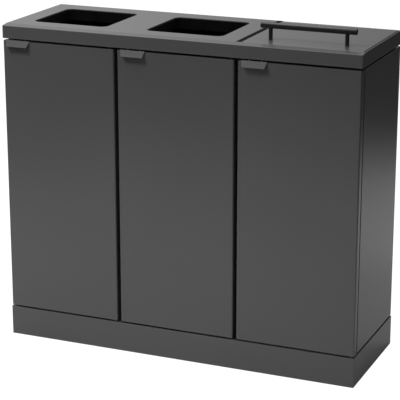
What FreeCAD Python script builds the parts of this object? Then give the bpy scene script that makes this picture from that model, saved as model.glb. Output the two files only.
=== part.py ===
import FreeCAD, Part
import math
import os

import Sketcher
from FreeCAD import Rotation, Vector

# Recycling bin station: a folded sheet-steel cabinet with three doors, two open chutes and one lidded chute.
# Millimetres. +Z up, front faces -Y, the origin is on the floor under the centre of the whole outline.
# Every outline below is drawn in the cabinet's own coordinates: x from its middle plane, y from its front
# face towards the back, z from the floor. Each Placement then puts the front face where it belongs.

DIMENSIONS = {
    # Cabinet
    "width": 1140,
    "depth": 384,
    "height": 1000,
    "plate": 2,
    "tab_reach": 11.5,
    # Heights of the plinth, the cabinet body and the band round the top
    "plinth_top": 92.5,
    "body_base": 97.5,
    "body_top": 951.5,
    "band_base": 958,
    "front_recess": 38,
    "side_recess": 14,
    "step_flange": 20,
    "foot_flange": 25,
    "overcut": 1,
    "body_inset": 1.5,
    "bend_radius": 1.5,
    # Sloped strip along the front of the top
    "slope_run": 26,
    "slope_fall": 3.5,
    "top_flange": 30,
    "hem": 3,
    # Doors
    "door_width": 372,
    "door_gap": 11,
    "door_depth": 22,
    "door_set_back": 1,
    "door_clearance": 9,
    "door_bend": 4.5,
    "pivot_inset": 11,
    "pin_radius": 4,
    "pin_play": 0.05,
    "pin_stub": 8,
    "bush_radius": 6,
    "bush_flange": 8,
    "bush_rim": 1.5,
    "liner_plate": 1.5,
    "rivet_radius": 3,
    "rivet_head": 1.2,
    "liner_rivet_margin": 12,
    "tab_rivet_inset": 2,
    "collar_play": 0.1,
    "strike_offset": 30,
    "strike_width": 44,
    "strike_low_gap": 1,
    "strike_high_gap": 3,
    # Pull tabs
    "tab_offset": 12,
    "tab_width": 78,
    "tab_drop": 16,
    "tab_slant": 5,
    "tab_leg": 15,
    "tab_bend": 0.5,
    "tab_lip": 1,
    # Carcass
    "panel_depth": 20,
    "back_depth": 12,
    "partition_width": 24,
    "rail_height": 20,
    "back_screw_radius": 4.5,
    "back_screw_head": 1.4,
    "back_screw_margin": 100,
    # Magnet catches
    "catch_offset": 34,
    "catch_width": 36,
    "catch_height": 14,
    "catch_drop": 4,
    "catch_play": 0.3,
    # Openings in the deck, and the collars under them
    "opening_width": 248,
    "opening_length": 240,
    "opening_radius": 22,
    "left_opening": -385,
    "right_opening": -8,
    "opening_middle": 200.5,
    "collar_depth": 35,
    "collar_wall": 3,
    "collar_rim": 12,
    # Deck edge, groove and lid
    "deck_edge": 180,
    "deck_fold": 12,
    "lid_left": 196,
    "lid_right": 562.5,
    "lid_front": 30,
    "lid_skirt": 10,
    "lid_back_gap": 0.5,
    "lid_end_gap": 1,
    "stiffener_margin": 35,
    "ledge_width": 20,
    "seal_height": 1.8,
    "seal_width": 9,
    "seal_overhang": 2,
    "seal_front_inset": 0.5,
    # Lid hinge
    "hinge_inset": 4.5,
    "knuckle_radius": 4.3,
    "knuckles": 7,
    "knuckle_space": 0.4,
    "hinge_pin_radius": 2,
    "leaf_plate": 1.5,
    "leaf_width": 25,
    # Bar handle
    "bar_radius": 9,
    "bar_length": 289,
    "bar_axis": 42.5,
    "bar_chamfer": 1,
    "post_radius": 6,
    "post_spacing": 230.7,
    "handle_set_back": 90,
    "screw_radius": 3,
    "screw_depth": 12,
    "screw_head_height": 3,
    "screw_head_radius": 5,
    # Bins
    "bin_front": 68,
    "bin_width": 288,
    "bin_length": 290,
    "bin_taper": 16,
    "bin_offset": -9,
    "bin_base": 105.8,
    "bin_top": 905,
    "bin_wall": 3,
    "bin_rim": 10,
    "bin_radius": 34,
    "bag_ring": 5,
    "bag_ring_inset": 2,
    "runner_height": 6,
    "runner_width": 14,
    "runner_spacing": 200,
    "runner_inset": 3,
    # Feet
    "foot_radius": 20,
    "foot_height": 6,
    "stud_radius": 5,
    "bracket_size": 90,
    "bracket_level": 45,
    "bracket_plate": 4,
}
DOORS = (1, 2, 3)
BACK_SCREW_ROWS = 4
ON_LINE = 0.02
ALONG_AXIS = 0.999
NODE_LIMIT = 60

doc = FreeCAD.newDocument("RecyclingBinStation")
sheet = doc.addObject("Spreadsheet::Sheet", "Sheet")


class Size:
    """A length that carries both its value and the spreadsheet formula behind it."""

    def __init__(self, value, formula):
        self.value = float(value)
        self.formula = formula

    def __add__(self, other):
        return combine(self, "+", other)

    def __radd__(self, other):
        return combine(other, "+", self)

    def __sub__(self, other):
        return combine(self, "-", other)

    def __rsub__(self, other):
        return combine(other, "-", self)

    def __mul__(self, other):
        return combine(self, "*", other)

    def __rmul__(self, other):
        return combine(other, "*", self)

    def __truediv__(self, other):
        return combine(self, "/", other)

    def __neg__(self):
        return combine(0, "-", self)


def as_size(number):
    """Return a Size for a plain number, and a Size unchanged."""
    if isinstance(number, Size):
        return number
    return Size(number, f"{number:g}" if number >= 0 else f"({number:g})")


def combine(left, sign, right):
    """Return the Size of left SIGN right."""
    left = as_size(left)
    right = as_size(right)
    results = {
        "+": left.value + right.value,
        "-": left.value - right.value,
        "*": left.value * right.value,
        "/": left.value / right.value if right.value else 0,
    }
    return Size(results[sign], f"({left.formula} {sign} {right.formula})")


def fill_sheet():
    """Write every driving dimension into the spreadsheet with its alias."""
    for row, (name, value) in enumerate(DIMENSIONS.items(), start=1):
        sheet.set(f"A{row}", name)
        sheet.set(f"B{row}", f"{value:g}")
        sheet.setAlias(f"B{row}", name)
    doc.recompute()


def dim(name):
    """Return the spreadsheet's value of one driving dimension as a Size."""
    return Size(sheet.get(name), f"Sheet.{name}")


fill_sheet()

PLATE = dim("plate")
HALF = dim("width") / 2
DEPTH = dim("depth")
TOP = dim("height")
FRONT = -(DEPTH - dim("tab_reach")) / 2
BODY_FRONT = dim("door_set_back") + dim("door_depth") + dim("door_clearance")
BODY_SIDE = HALF - dim("body_inset")
BODY_BACK = DEPTH - dim("body_inset")
DOOR_BACK = dim("door_set_back") + dim("door_depth")
DOOR_PITCH = dim("door_width") + dim("door_gap")
LEDGE = TOP - dim("deck_fold")
EXPORTED = []


# ---------------------------------------------------------------- sketches and features


def new_body(label, at_x=0):
    """Start a body whose Placement carries it from the cabinet's coordinates to the model's."""
    body = doc.addObject("PartDesign::Body", "Body")
    body.Label = label
    place(body, at_x)
    EXPORTED.append(body)
    return body


def place(piece, at_x=0):
    """Bind a piece's Placement: at_x across, and the cabinet's front face in depth."""
    bind(piece, "Placement.Base.x", as_size(at_x))
    bind(piece, "Placement.Base.y", FRONT)


def bind(piece, name, size):
    """Bind one property to its spreadsheet formula."""
    piece.setExpression(name, as_size(size).formula)


def add_sketch(body, plane, level):
    """Add a sketch parallel to an origin plane. level is its x, y or z in the body."""
    sketch = body.newObject("Sketcher::SketchObject", "Sketch")
    support = next(feature for feature in body.Origin.OriginFeatures if feature.Role == plane)
    sketch.AttachmentSupport = (support, [""])
    sketch.MapMode = "FlatFace"
    # The XZ plane's normal points to -Y, so a level in y has the opposite sign there.
    bind(sketch, "AttachmentOffset.Base.z", -level if plane == "XZ_Plane" else level)
    return sketch


def constrain(sketch, kind, size, *elements):
    """Add one dimension to the sketch and bind it to its formula."""
    size = as_size(size)
    index = sketch.addConstraint(Sketcher.Constraint(kind, *elements, size.value))
    sketch.setExpression(f"Constraints[{index}]", size.formula)


def pin_point(sketch, geometry, vertex, point):
    """Fix one vertex at point, measured from the sketch's origin."""
    constrain(sketch, "DistanceX", point[0], -1, 1, geometry, vertex)
    constrain(sketch, "DistanceY", point[1], -1, 1, geometry, vertex)


def draw_polygon(sketch, corners):
    """Draw a closed outline with straight sides through the corners."""
    corners = [(as_size(x), as_size(y)) for x, y in corners]
    points = [Vector(x.value, y.value, 0) for x, y in corners]
    first = sketch.GeometryCount
    count = len(points)
    for index in range(count):
        sketch.addGeometry(Part.LineSegment(points[index], points[(index + 1) % count]), False)
    for index in range(count):
        following = first + (index + 1) % count
        sketch.addConstraint(Sketcher.Constraint("Coincident", first + index, 2, following, 1))
    for index, corner in enumerate(corners):
        pin_point(sketch, first + index, 1, corner)


def draw_circle(sketch, centre, radius):
    """Draw a circle."""
    radius = as_size(radius)
    middle = Vector(as_size(centre[0]).value, as_size(centre[1]).value, 0)
    index = sketch.addGeometry(Part.Circle(middle, Vector(0, 0, 1), radius.value), False)
    constrain(sketch, "Radius", radius, index)
    pin_point(sketch, index, 3, centre)


def draw_rounded_rectangle(sketch, low, high, radius):
    """Draw a rectangle from its low to its high corner with four equal round corners."""
    x0, y0, x1, y1, r = (as_size(value) for value in (*low, *high, radius))
    inner = [(x0 + r, y0 + r), (x1 - r, y0 + r), (x1 - r, y1 - r), (x0 + r, y1 - r)]
    centres = [Vector(x.value, y.value, 0) for x, y in inner]
    outward = [Vector(0, -1, 0), Vector(1, 0, 0), Vector(0, 1, 0), Vector(-1, 0, 0)]
    quarter = math.pi / 2
    first = sketch.GeometryCount
    for side in range(4):
        start = centres[side] + outward[side] * r.value
        end = centres[(side + 1) % 4] + outward[side] * r.value
        corner = Part.Circle(centres[(side + 1) % 4], Vector(0, 0, 1), r.value)
        sketch.addGeometry(Part.LineSegment(start, end), False)
        sketch.addGeometry(Part.ArcOfCircle(corner, (side - 1) * quarter, side * quarter), False)
    for side in range(4):
        line = first + 2 * side
        following = first + 2 * ((side + 1) % 4)
        sketch.addConstraint(Sketcher.Constraint("Tangent", line, 2, line + 1, 1))
        sketch.addConstraint(Sketcher.Constraint("Tangent", line + 1, 2, following, 1))
        sketch.addConstraint(Sketcher.Constraint("Vertical" if side % 2 else "Horizontal", line))
        if side:
            sketch.addConstraint(Sketcher.Constraint("Equal", first + 1, line + 1))
    constrain(sketch, "Radius", r, first + 1)
    constrain(sketch, "DistanceY", y0, -1, 1, first, 1)
    constrain(sketch, "DistanceX", x1, -1, 1, first + 2, 1)
    constrain(sketch, "DistanceY", y1, -1, 1, first + 4, 1)
    constrain(sketch, "DistanceX", x0, -1, 1, first + 6, 1)


def add_feature(body, kind, sketch, length):
    """Add a Pad or a Pocket of a sketch with a bound length."""
    feature = body.newObject(f"PartDesign::{kind}", kind)
    feature.Profile = sketch
    feature.Length = length.value
    bind(feature, "Length", length)
    sketch.Visibility = False
    return feature


def pad(body, plane, draw, start, end, *shape):
    """Add material: the outline that draw makes from shape, between start and end along the plane's axis."""
    start = as_size(start)
    end = as_size(end)
    sketch = add_sketch(body, plane, end if plane == "XZ_Plane" else start)
    draw(sketch, *shape)
    return add_feature(body, "Pad", sketch, end - start)


def pocket(body, plane, draw, start, end, *shape):
    """Take material away between start and end, and make sure that some went."""
    start = as_size(start)
    end = as_size(end)
    doc.recompute()
    before = body.Shape.Volume
    sketch = add_sketch(body, plane, start if plane == "XZ_Plane" else end)
    draw(sketch, *shape)
    feature = add_feature(body, "Pocket", sketch, end - start)
    doc.recompute()
    if body.Shape.Volume >= before:
        raise RuntimeError(f"{body.Label}: a pocket cuts nothing")
    return feature


def box(low, high):
    """Return the four corners of an upright rectangle."""
    return [(low[0], low[1]), (high[0], low[1]), (high[0], high[1]), (low[0], high[1])]


def round_edges(body, radius, axis, **where):
    """Fillet the straight edges along an axis that lie at the given x, y or z values in the body."""
    doc.recompute()
    base = body.Tip
    names = []
    for number, edge in enumerate(base.Shape.Edges, start=1):
        if edge.Curve.TypeId != "Part::GeomLine":
            continue
        if abs(getattr(edge.tangentAt(edge.FirstParameter), axis)) < ALONG_AXIS:
            continue
        middle = edge.CenterOfMass
        if all(min(abs(getattr(middle, key) - as_size(v).value) for v in values) < ON_LINE
               for key, values in where.items()):
            names.append(f"Edge{number}")
    if not names:
        raise RuntimeError(f"{body.Label}: no edge to round")
    fillet = body.newObject("PartDesign::Fillet", "Fillet")
    fillet.Base = (base, names)
    fillet.Radius = as_size(radius).value
    bind(fillet, "Radius", radius)


def primitive(kind, at, sizes, rotation=None):
    """Add a Part primitive in the cabinet's coordinates with every size bound."""
    piece = doc.addObject(f"Part::{kind}", kind)
    for name, size in sizes.items():
        setattr(piece, name, as_size(size).value)
        bind(piece, name, size)
    if rotation is not None:
        piece.Placement.Rotation = rotation
    for name, size in zip("xyz", at):
        bind(piece, f"Placement.Base.{name}", size)
    return piece


def cylinder(at, radius, length, direction=None):
    """Add a cylinder from its base point, upright unless a direction is given."""
    turn = None if direction is None else Rotation(Vector(0, 0, 1), direction)
    return primitive("Cylinder", at, {"Radius": radius, "Height": length}, turn)


def block(low, high):
    """Add a box from its low to its high corner."""
    low = [as_size(value) for value in low]
    high = [as_size(value) for value in high]
    spans = {name: b - a for name, a, b in zip(("Length", "Width", "Height"), low, high)}
    return primitive("Box", low, spans)


def fuse(pieces):
    """Join touching primitives into one solid."""
    joined = doc.addObject("Part::MultiFuse", "Fusion")
    joined.Shapes = pieces
    joined.Refine = True
    return joined


def cut(base, tool):
    """Take one primitive away from another."""
    result = doc.addObject("Part::Cut", "Cut")
    result.Base = base
    result.Tool = tool
    return result


def group(label, pieces, at_x=0):
    """Keep separate solids together as one sub-part."""
    compound = doc.addObject("Part::Compound", "Compound")
    compound.Links = pieces
    compound.Label = label
    place(compound, at_x)
    EXPORTED.append(compound)
    return compound


# ---------------------------------------------------------------- plinth and top band


def channel_outline(base, top, reach, sign=1, edge=0):
    """Outline of a C-shaped side channel: a wall at the edge, a foot flange and a top flange."""
    u0 = as_size(edge)
    return [
        (u0, base),
        (u0, top),
        (u0 + sign * reach, top),
        (u0 + sign * reach, top - PLATE),
        (u0 + sign * PLATE, top - PLATE),
        (u0 + sign * PLATE, base + PLATE),
        (u0 + sign * dim("foot_flange"), base + PLATE),
        (u0 + sign * dim("foot_flange"), base),
    ]


def step_outline(recess, near, far, sign=1, edge=0):
    """Outline of the recessed step between a channel's flange (near) and the cabinet body (far)."""
    u0 = as_size(edge)
    towards = 1 if far.value > near.value else -1
    inner = recess + PLATE
    return [
        (u0 + sign * recess, near),
        (u0 + sign * recess, far),
        (u0 + sign * (inner + dim("step_flange")), far),
        (u0 + sign * (inner + dim("step_flange")), far - towards * PLATE),
        (u0 + sign * inner, far - towards * PLATE),
        (u0 + sign * inner, near),
    ]


def band_outline(reach, sign=1, edge=0, wall_top=None, top_flange=None):
    """Outline of one side of the top band: bottom flange, wall and, where asked, a top flange."""
    u0 = as_size(edge)
    base = dim("band_base")
    crest = TOP if wall_top is None else wall_top
    outline = [(u0, base), (u0, crest)]
    if top_flange is not None:
        outline += [(u0 + sign * top_flange, crest), (u0 + sign * top_flange, crest - PLATE)]
        outline += [(u0 + sign * PLATE, crest - PLATE)]
    else:
        outline += [(u0 + sign * PLATE, crest)]
    outline += [
        (u0 + sign * PLATE, base + PLATE),
        (u0 + sign * reach, base + PLATE),
        (u0 + sign * reach, base),
    ]
    return outline


FRONT_REACH = dim("front_recess") + PLATE
SIDE_REACH = dim("side_recess") + PLATE
STEP_SIDE = HALF - dim("side_recess")
SKIN_SIDE = HALF - PLATE
SIDE_START = FRONT_REACH + dim("step_flange")
SIDE_END = DEPTH - SIDE_REACH - dim("step_flange")
PIVOT_Y = dim("door_set_back") + dim("door_depth") / 2


def door_centre(number):
    """Return the x of a door's middle. The doors are numbered from the left."""
    return DOOR_PITCH * (number - 2)


def pivot_x(number):
    """Return the x of a door's hinge axis, near its right edge."""
    return door_centre(number) + dim("door_width") / 2 - dim("pivot_inset")


def drill_pivot_holes(body, low, high):
    """Cut the three holes for the doors' pivot bushes through a flange."""
    for number in DOORS:
        centre = (pivot_x(number), PIVOT_Y)
        pocket(body, "XY_Plane", draw_circle, low, high, centre, dim("bush_radius"))


def make_plinth():
    """Four folded channels, butted at the corners, each with a recessed step under the cabinet body."""
    top = dim("plinth_top")
    step_top = dim("body_base")

    front = new_body("plinth_front")
    outline = channel_outline(as_size(0), top, FRONT_REACH)
    pad(front, "YZ_Plane", draw_polygon, -SKIN_SIDE, SKIN_SIDE, outline)
    outline = step_outline(dim("front_recess"), top, step_top)
    pad(front, "YZ_Plane", draw_polygon, -STEP_SIDE, STEP_SIDE, outline)
    drill_pivot_holes(front, top - PLATE, top)

    back = new_body("plinth_back")
    outline = channel_outline(as_size(0), top, SIDE_REACH, -1, DEPTH)
    pad(back, "YZ_Plane", draw_polygon, -SKIN_SIDE, SKIN_SIDE, outline)
    outline = step_outline(dim("side_recess"), top, step_top, -1, DEPTH)
    pad(back, "YZ_Plane", draw_polygon, -STEP_SIDE, STEP_SIDE, outline)

    for label, sign in (("plinth_left", 1), ("plinth_right", -1)):
        side = new_body(label)
        edge = -sign * HALF
        skin = box((edge, as_size(0)), (edge + sign * PLATE, top))
        pad(side, "XZ_Plane", draw_polygon, 0, DEPTH, skin)
        outline = channel_outline(as_size(0), top, SIDE_REACH, sign, edge)
        pad(side, "XZ_Plane", draw_polygon, FRONT_REACH, DEPTH - dim("foot_flange"), outline)
        outline = step_outline(dim("side_recess"), top, step_top, sign, edge)
        pad(side, "XZ_Plane", draw_polygon, SIDE_START, SIDE_END, outline)
        round_edges(side, dim("bend_radius"), "z", x=[edge], y=[0, DEPTH])


def make_band():
    """The band round the top: a front with a sloped strip, a back, and two sides."""
    base = dim("band_base")
    body_top = dim("body_top")
    crest = TOP - dim("slope_fall")
    run = dim("slope_run")

    front = new_body("band_front")
    outline = [
        (0, base),
        (0, crest),
        (run, TOP),
        (run, TOP - PLATE),
        (PLATE, crest - PLATE + dim("slope_fall") * PLATE / run),
        (PLATE, base + PLATE),
        (FRONT_REACH, base + PLATE),
        (FRONT_REACH, base),
    ]
    pad(front, "YZ_Plane", draw_polygon, -SKIN_SIDE, SKIN_SIDE, outline)
    outline = step_outline(dim("front_recess"), base, body_top)
    pad(front, "YZ_Plane", draw_polygon, -STEP_SIDE, STEP_SIDE, outline)
    round_edges(front, dim("bend_radius"), "x", y=[0], z=[base, crest])
    drill_pivot_holes(front, base, base + PLATE)

    back = new_body("band_back")
    outline = band_outline(SIDE_REACH, -1, DEPTH, TOP, dim("top_flange"))
    pad(back, "YZ_Plane", draw_polygon, -SKIN_SIDE, dim("deck_edge"), outline)
    # Behind the hinge the wall is lower, so that the knuckles lie over it. Beside the hinge it closes the
    # groove and the gap at the lid's right edge.
    low_top = TOP - dim("lid_skirt")
    outline = band_outline(SIDE_REACH, -1, DEPTH, low_top)
    pad(back, "YZ_Plane", draw_polygon, dim("deck_edge"), SKIN_SIDE, outline)
    end_gap = dim("lid_end_gap")
    beside = ((dim("deck_edge"), dim("lid_left") - end_gap), (dim("lid_right") + end_gap, SKIN_SIDE))
    for start, end in beside:
        closure = box((start, low_top), (end, TOP))
        pad(back, "XZ_Plane", draw_polygon, DEPTH - PLATE, DEPTH, closure)
    outline = step_outline(dim("side_recess"), base, body_top, -1, DEPTH)
    pad(back, "YZ_Plane", draw_polygon, -STEP_SIDE, STEP_SIDE, outline)

    for label, sign in (("band_left", 1), ("band_right", -1)):
        side = new_body(label)
        edge = -sign * HALF
        # The skin follows the front's slope, so that the corner closes.
        skin = [(0, base), (0, crest), (run, TOP), (DEPTH, TOP), (DEPTH, base)]
        low, high = (edge, edge + PLATE) if sign > 0 else (edge - PLATE, edge)
        pad(side, "YZ_Plane", draw_polygon, low, high, skin)
        flange = dim("top_flange") if sign > 0 else dim("hem")
        outline = band_outline(SIDE_REACH, sign, edge, TOP, flange)
        back_end = DEPTH - (dim("top_flange") if sign > 0 else SIDE_REACH)
        pad(side, "XZ_Plane", draw_polygon, FRONT_REACH, back_end, outline)
        gusset = box((edge, TOP - PLATE), (edge + sign * flange, TOP))
        pad(side, "XZ_Plane", draw_polygon, run, FRONT_REACH, gusset)
        outline = step_outline(dim("side_recess"), base, body_top, sign, edge)
        pad(side, "XZ_Plane", draw_polygon, SIDE_START, SIDE_END, outline)
        round_edges(side, dim("bend_radius"), "z", x=[edge], y=[0, DEPTH])


# ---------------------------------------------------------------- carcass


def make_carcass():
    """Floor, sides, back, two partitions and the rail over the doors."""
    base = dim("body_base")
    top = dim("body_top")
    inner_side = BODY_SIDE - dim("panel_depth")
    back_face = BODY_BACK - dim("back_depth")

    for label, sign in (("side_panel_left", -1), ("side_panel_right", 1)):
        side = new_body(label)
        outer = sign * BODY_SIDE
        inner = sign * inner_side
        pad(side, "XZ_Plane", draw_polygon, BODY_FRONT, BODY_BACK, box((inner, base), (outer, top)))
        hollow = box((inner, base + PLATE), (outer - sign * PLATE, top - PLATE))
        pocket(side, "XZ_Plane", draw_polygon, BODY_FRONT + PLATE, BODY_BACK - PLATE, hollow)
        round_edges(side, dim("bend_radius"), "z", x=[outer], y=[BODY_FRONT, BODY_BACK])

    back = new_body("back_panel")
    pad(back, "XZ_Plane", draw_polygon, back_face, BODY_BACK, box((-inner_side, base), (inner_side, top)))
    hollow = box((-inner_side + PLATE, base + PLATE), (inner_side - PLATE, top - PLATE))
    pocket(back, "XZ_Plane", draw_polygon, back_face, BODY_BACK - PLATE, hollow)

    floor = new_body("floor_panel")
    plan = box((-inner_side, BODY_FRONT), (inner_side, back_face))
    pad(floor, "XY_Plane", draw_polygon, base, base + PLATE, plan)

    half_web = dim("partition_width") / 2
    for label, sign in (("partition_left", -1), ("partition_right", 1)):
        partition = new_body(label, sign * DOOR_PITCH / 2)
        outline = [
            (-half_web, BODY_FRONT),
            (half_web, BODY_FRONT),
            (half_web, back_face),
            (half_web - PLATE, back_face),
            (half_web - PLATE, BODY_FRONT + PLATE),
            (-half_web + PLATE, BODY_FRONT + PLATE),
            (-half_web + PLATE, back_face),
            (-half_web, back_face),
        ]
        pad(partition, "XY_Plane", draw_polygon, base + PLATE, top - dim("rail_height"), outline)

    rail = new_body("front_rail")
    low = top - dim("rail_height")
    inner = BODY_FRONT + dim("panel_depth")
    outline = [
        (BODY_FRONT, low),
        (BODY_FRONT, top),
        (inner, top),
        (inner, top - PLATE),
        (BODY_FRONT + PLATE, top - PLATE),
        (BODY_FRONT + PLATE, low + PLATE),
        (inner, low + PLATE),
        (inner, low),
    ]
    pad(rail, "YZ_Plane", draw_polygon, -inner_side, inner_side, outline)


def make_carcass_fasteners():
    """Low pan-head screws in the back, through the back panel into each partition and side."""
    head = dim("back_screw_radius")
    margin = dim("back_screw_margin")
    screws = []
    columns = (-DOOR_PITCH / 2, DOOR_PITCH / 2)
    spacing = (dim("body_top") - dim("body_base") - 2 * margin) / (BACK_SCREW_ROWS - 1)
    for column in columns:
        for row in range(BACK_SCREW_ROWS):
            at = (column, BODY_BACK, dim("body_base") + margin + spacing * row)
            screws.append(cylinder(at, head, dim("back_screw_head"), Vector(0, 1, 0)))
    group("back_screws", screws)


def make_feet():
    """A levelling foot in each corner of the plinth, on a bracket plate."""
    size = dim("bracket_size")
    level = dim("bracket_level")
    over = dim("overcut")
    brackets = []
    feet = []
    for side in (-1, 1):
        for low_y, high_y in ((PLATE, PLATE + size), (DEPTH - PLATE - size, DEPTH - PLATE)):
            outer = side * SKIN_SIDE
            inner = outer - side * size
            low_x, high_x = (inner, outer) if side > 0 else (outer, inner)
            plate = block((low_x, low_y, level), (high_x, high_y, level + dim("bracket_plate")))
            centre = ((low_x + high_x) / 2, (low_y + high_y) / 2)
            hole = cylinder((*centre, level - over), dim("stud_radius"), dim("bracket_plate") + 2 * over)
            brackets.append(cut(plate, hole))
            disc = cylinder((*centre, 0), dim("foot_radius"), dim("foot_height"))
            stud = cylinder((*centre, dim("foot_height")), dim("stud_radius"), level)
            feet.append(fuse([disc, stud]))
    group("plinth_brackets", brackets)
    group("leveling_feet", feet)


# ---------------------------------------------------------------- deck, chutes and lid frame


def opening_corners(centre_x, grow=0):
    """Return the low and high corner of one deck opening, grown all round."""
    half_width = dim("opening_width") / 2 + grow
    half_length = dim("opening_length") / 2 + grow
    middle = dim("opening_middle")
    return (centre_x - half_width, middle - half_length), (centre_x + half_width, middle + half_length)


def make_deck():
    """The deck sheet with its two rounded openings, folded down along the groove beside the lid."""
    deck = new_body("deck_plate")
    left = -HALF + dim("top_flange")
    edge = dim("deck_edge")
    plan = box((left, dim("slope_run")), (edge, DEPTH - dim("top_flange")))
    pad(deck, "XY_Plane", draw_polygon, TOP - PLATE, TOP, plan)
    fold = box((edge - PLATE, dim("slope_run")), (edge, DEPTH - dim("top_flange")))
    pad(deck, "XY_Plane", draw_polygon, LEDGE - PLATE, TOP - PLATE, fold)
    radius = dim("opening_radius")
    for name in ("left_opening", "right_opening"):
        corners = opening_corners(dim(name))
        pocket(deck, "XY_Plane", draw_rounded_rectangle, TOP - PLATE, TOP, *corners, radius)
    round_edges(deck, dim("bend_radius"), "y", x=[edge], z=[TOP])


def make_collars():
    """A moulded collar under each opening: a flange against the deck and a short throat."""
    under = TOP - PLATE
    for label, name in (("chute_collar_left", "left_opening"), ("chute_collar_right", "right_opening")):
        collar = new_body(label)
        wall = dim("collar_wall")
        rim = dim("collar_rim")
        radius = dim("opening_radius")
        outer = opening_corners(dim(name), rim)
        pad(collar, "XY_Plane", draw_rounded_rectangle, under - wall, under, *outer, radius + rim)
        outer = opening_corners(dim(name), wall)
        throat_end = under - dim("collar_depth")
        pad(collar, "XY_Plane", draw_rounded_rectangle, throat_end, under - wall, *outer, radius + wall)
        inner = opening_corners(dim(name))
        pocket(collar, "XY_Plane", draw_rounded_rectangle, throat_end, under, *inner, radius)


LID_BACK = DEPTH - dim("hinge_inset") - dim("knuckle_radius") - dim("lid_back_gap")
HINGE_Y = DEPTH - dim("hinge_inset")
HINGE_Z = TOP - dim("hinge_inset")
WELL_LEFT = dim("deck_edge")
WELL_RIGHT = HALF - dim("hem")
LEAF_FACE = DEPTH - PLATE - dim("leaf_plate")
THROAT_LEFT = dim("lid_left") + dim("ledge_width")
THROAT_RIGHT = dim("lid_right") - dim("ledge_width")
THROAT_FRONT = dim("lid_front") + dim("ledge_width")
THROAT_BACK = LID_BACK - dim("ledge_width")


def make_lid_frame():
    """The sunk ledge that the lid lies on, with the seal that its skirt meets."""
    frame = new_body("lid_frame")
    run = dim("slope_run")
    plan = box((WELL_LEFT, run), (WELL_RIGHT, LEAF_FACE))
    pad(frame, "XY_Plane", draw_polygon, LEDGE - PLATE, LEDGE, plan)
    upstand = box((WELL_LEFT, run), (WELL_RIGHT, run + PLATE))
    pad(frame, "XY_Plane", draw_polygon, LEDGE, TOP, upstand)
    throat = ((THROAT_LEFT, THROAT_FRONT), (THROAT_RIGHT, THROAT_BACK))
    pocket(frame, "XY_Plane", draw_rounded_rectangle, LEDGE - PLATE, LEDGE, *throat, dim("opening_radius"))

    top = LEDGE + dim("seal_height")
    width = dim("seal_width")
    overhang = dim("seal_overhang")
    left = dim("lid_left") - overhang
    right = dim("lid_right") + overhang
    front = dim("lid_front") - overhang + dim("seal_front_inset")
    strips = [
        block((left, front, LEDGE), (right, front + width, top)),
        block((left, front + width, LEDGE), (left + width, LID_BACK, top)),
        block((right - width, front + width, LEDGE), (right, LID_BACK, top)),
    ]
    group("lid_seal", strips)


def make_lid():
    """The lid: a folded tray, the stiffener under it and the bar handle."""
    left = dim("lid_left")
    right = dim("lid_right")
    front = dim("lid_front")
    bottom = TOP - dim("lid_skirt")
    panel = new_body("lid_panel")
    pad(panel, "XY_Plane", draw_polygon, bottom, TOP, box((left, front), (right, LID_BACK)))
    hollow = box((left + PLATE, front + PLATE), (right - PLATE, LID_BACK))
    pocket(panel, "XY_Plane", draw_polygon, bottom, TOP - PLATE, hollow)
    round_edges(panel, dim("bend_radius"), "y", x=[left, right], z=[TOP])
    round_edges(panel, dim("bend_radius"), "x", y=[front], z=[TOP])
    middle = (left + right) / 2
    post_y = dim("handle_set_back")
    half_spacing = dim("post_spacing") / 2
    posts_x = (middle - half_spacing, middle + half_spacing)
    for post_x in posts_x:
        pocket(panel, "XY_Plane", draw_circle, TOP - PLATE, TOP, (post_x, post_y), dim("screw_radius"))

    stiffener = new_body("lid_stiffener")
    margin = dim("stiffener_margin")
    plan = box((left + margin, front + margin), (right - margin, LID_BACK - margin))
    pad(stiffener, "XY_Plane", draw_polygon, bottom, TOP - PLATE, plan)
    wall = dim("liner_plate")
    inset = margin + wall
    tray = box((left + inset, front + inset), (right - inset, LID_BACK - inset))
    pocket(stiffener, "XY_Plane", draw_polygon, bottom + wall, TOP - PLATE, tray)
    access = dim("post_radius")
    for post_x in posts_x:
        pocket(stiffener, "XY_Plane", draw_circle, bottom, bottom + wall, (post_x, post_y), access)

    bar_z = TOP + dim("bar_axis")
    bar = new_body("handle_bar")
    half_bar = dim("bar_length") / 2
    axis = (post_y, bar_z)
    pad(bar, "YZ_Plane", draw_circle, middle - half_bar, middle + half_bar, axis, dim("bar_radius"))
    chamfer_ends(bar, dim("bar_chamfer"))

    posts = []
    screws = []
    across = Vector(1, 0, 0)
    grip = dim("screw_depth")
    over = dim("overcut")
    head_height = dim("screw_head_height")
    for post_x in posts_x:
        post = cylinder((post_x, post_y, TOP), dim("post_radius"), dim("bar_axis"))
        saddle = cylinder((post_x - grip, post_y, bar_z), dim("bar_radius"), 2 * grip, across)
        thread = cylinder((post_x, post_y, TOP - over), dim("screw_radius"), grip + over)
        posts.append(cut(cut(post, saddle), thread))
        head_low = TOP - PLATE - head_height
        head = cylinder((post_x, post_y, head_low), dim("screw_head_radius"), head_height)
        shank = cylinder((post_x, post_y, TOP - PLATE), dim("screw_radius"), PLATE + grip)
        screws.append(fuse([head, shank]))
    group("handle_posts", posts)
    group("handle_screws", screws)


def chamfer_ends(body, size):
    """Chamfer every round edge of a bar."""
    doc.recompute()
    base = body.Tip
    names = []
    for number, edge in enumerate(base.Shape.Edges, start=1):
        if edge.Curve.TypeId == "Part::GeomCircle":
            names.append(f"Edge{number}")
    chamfer = body.newObject("PartDesign::Chamfer", "Chamfer")
    chamfer.Base = (base, names)
    chamfer.Size = size.value
    bind(chamfer, "Size", size)


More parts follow.
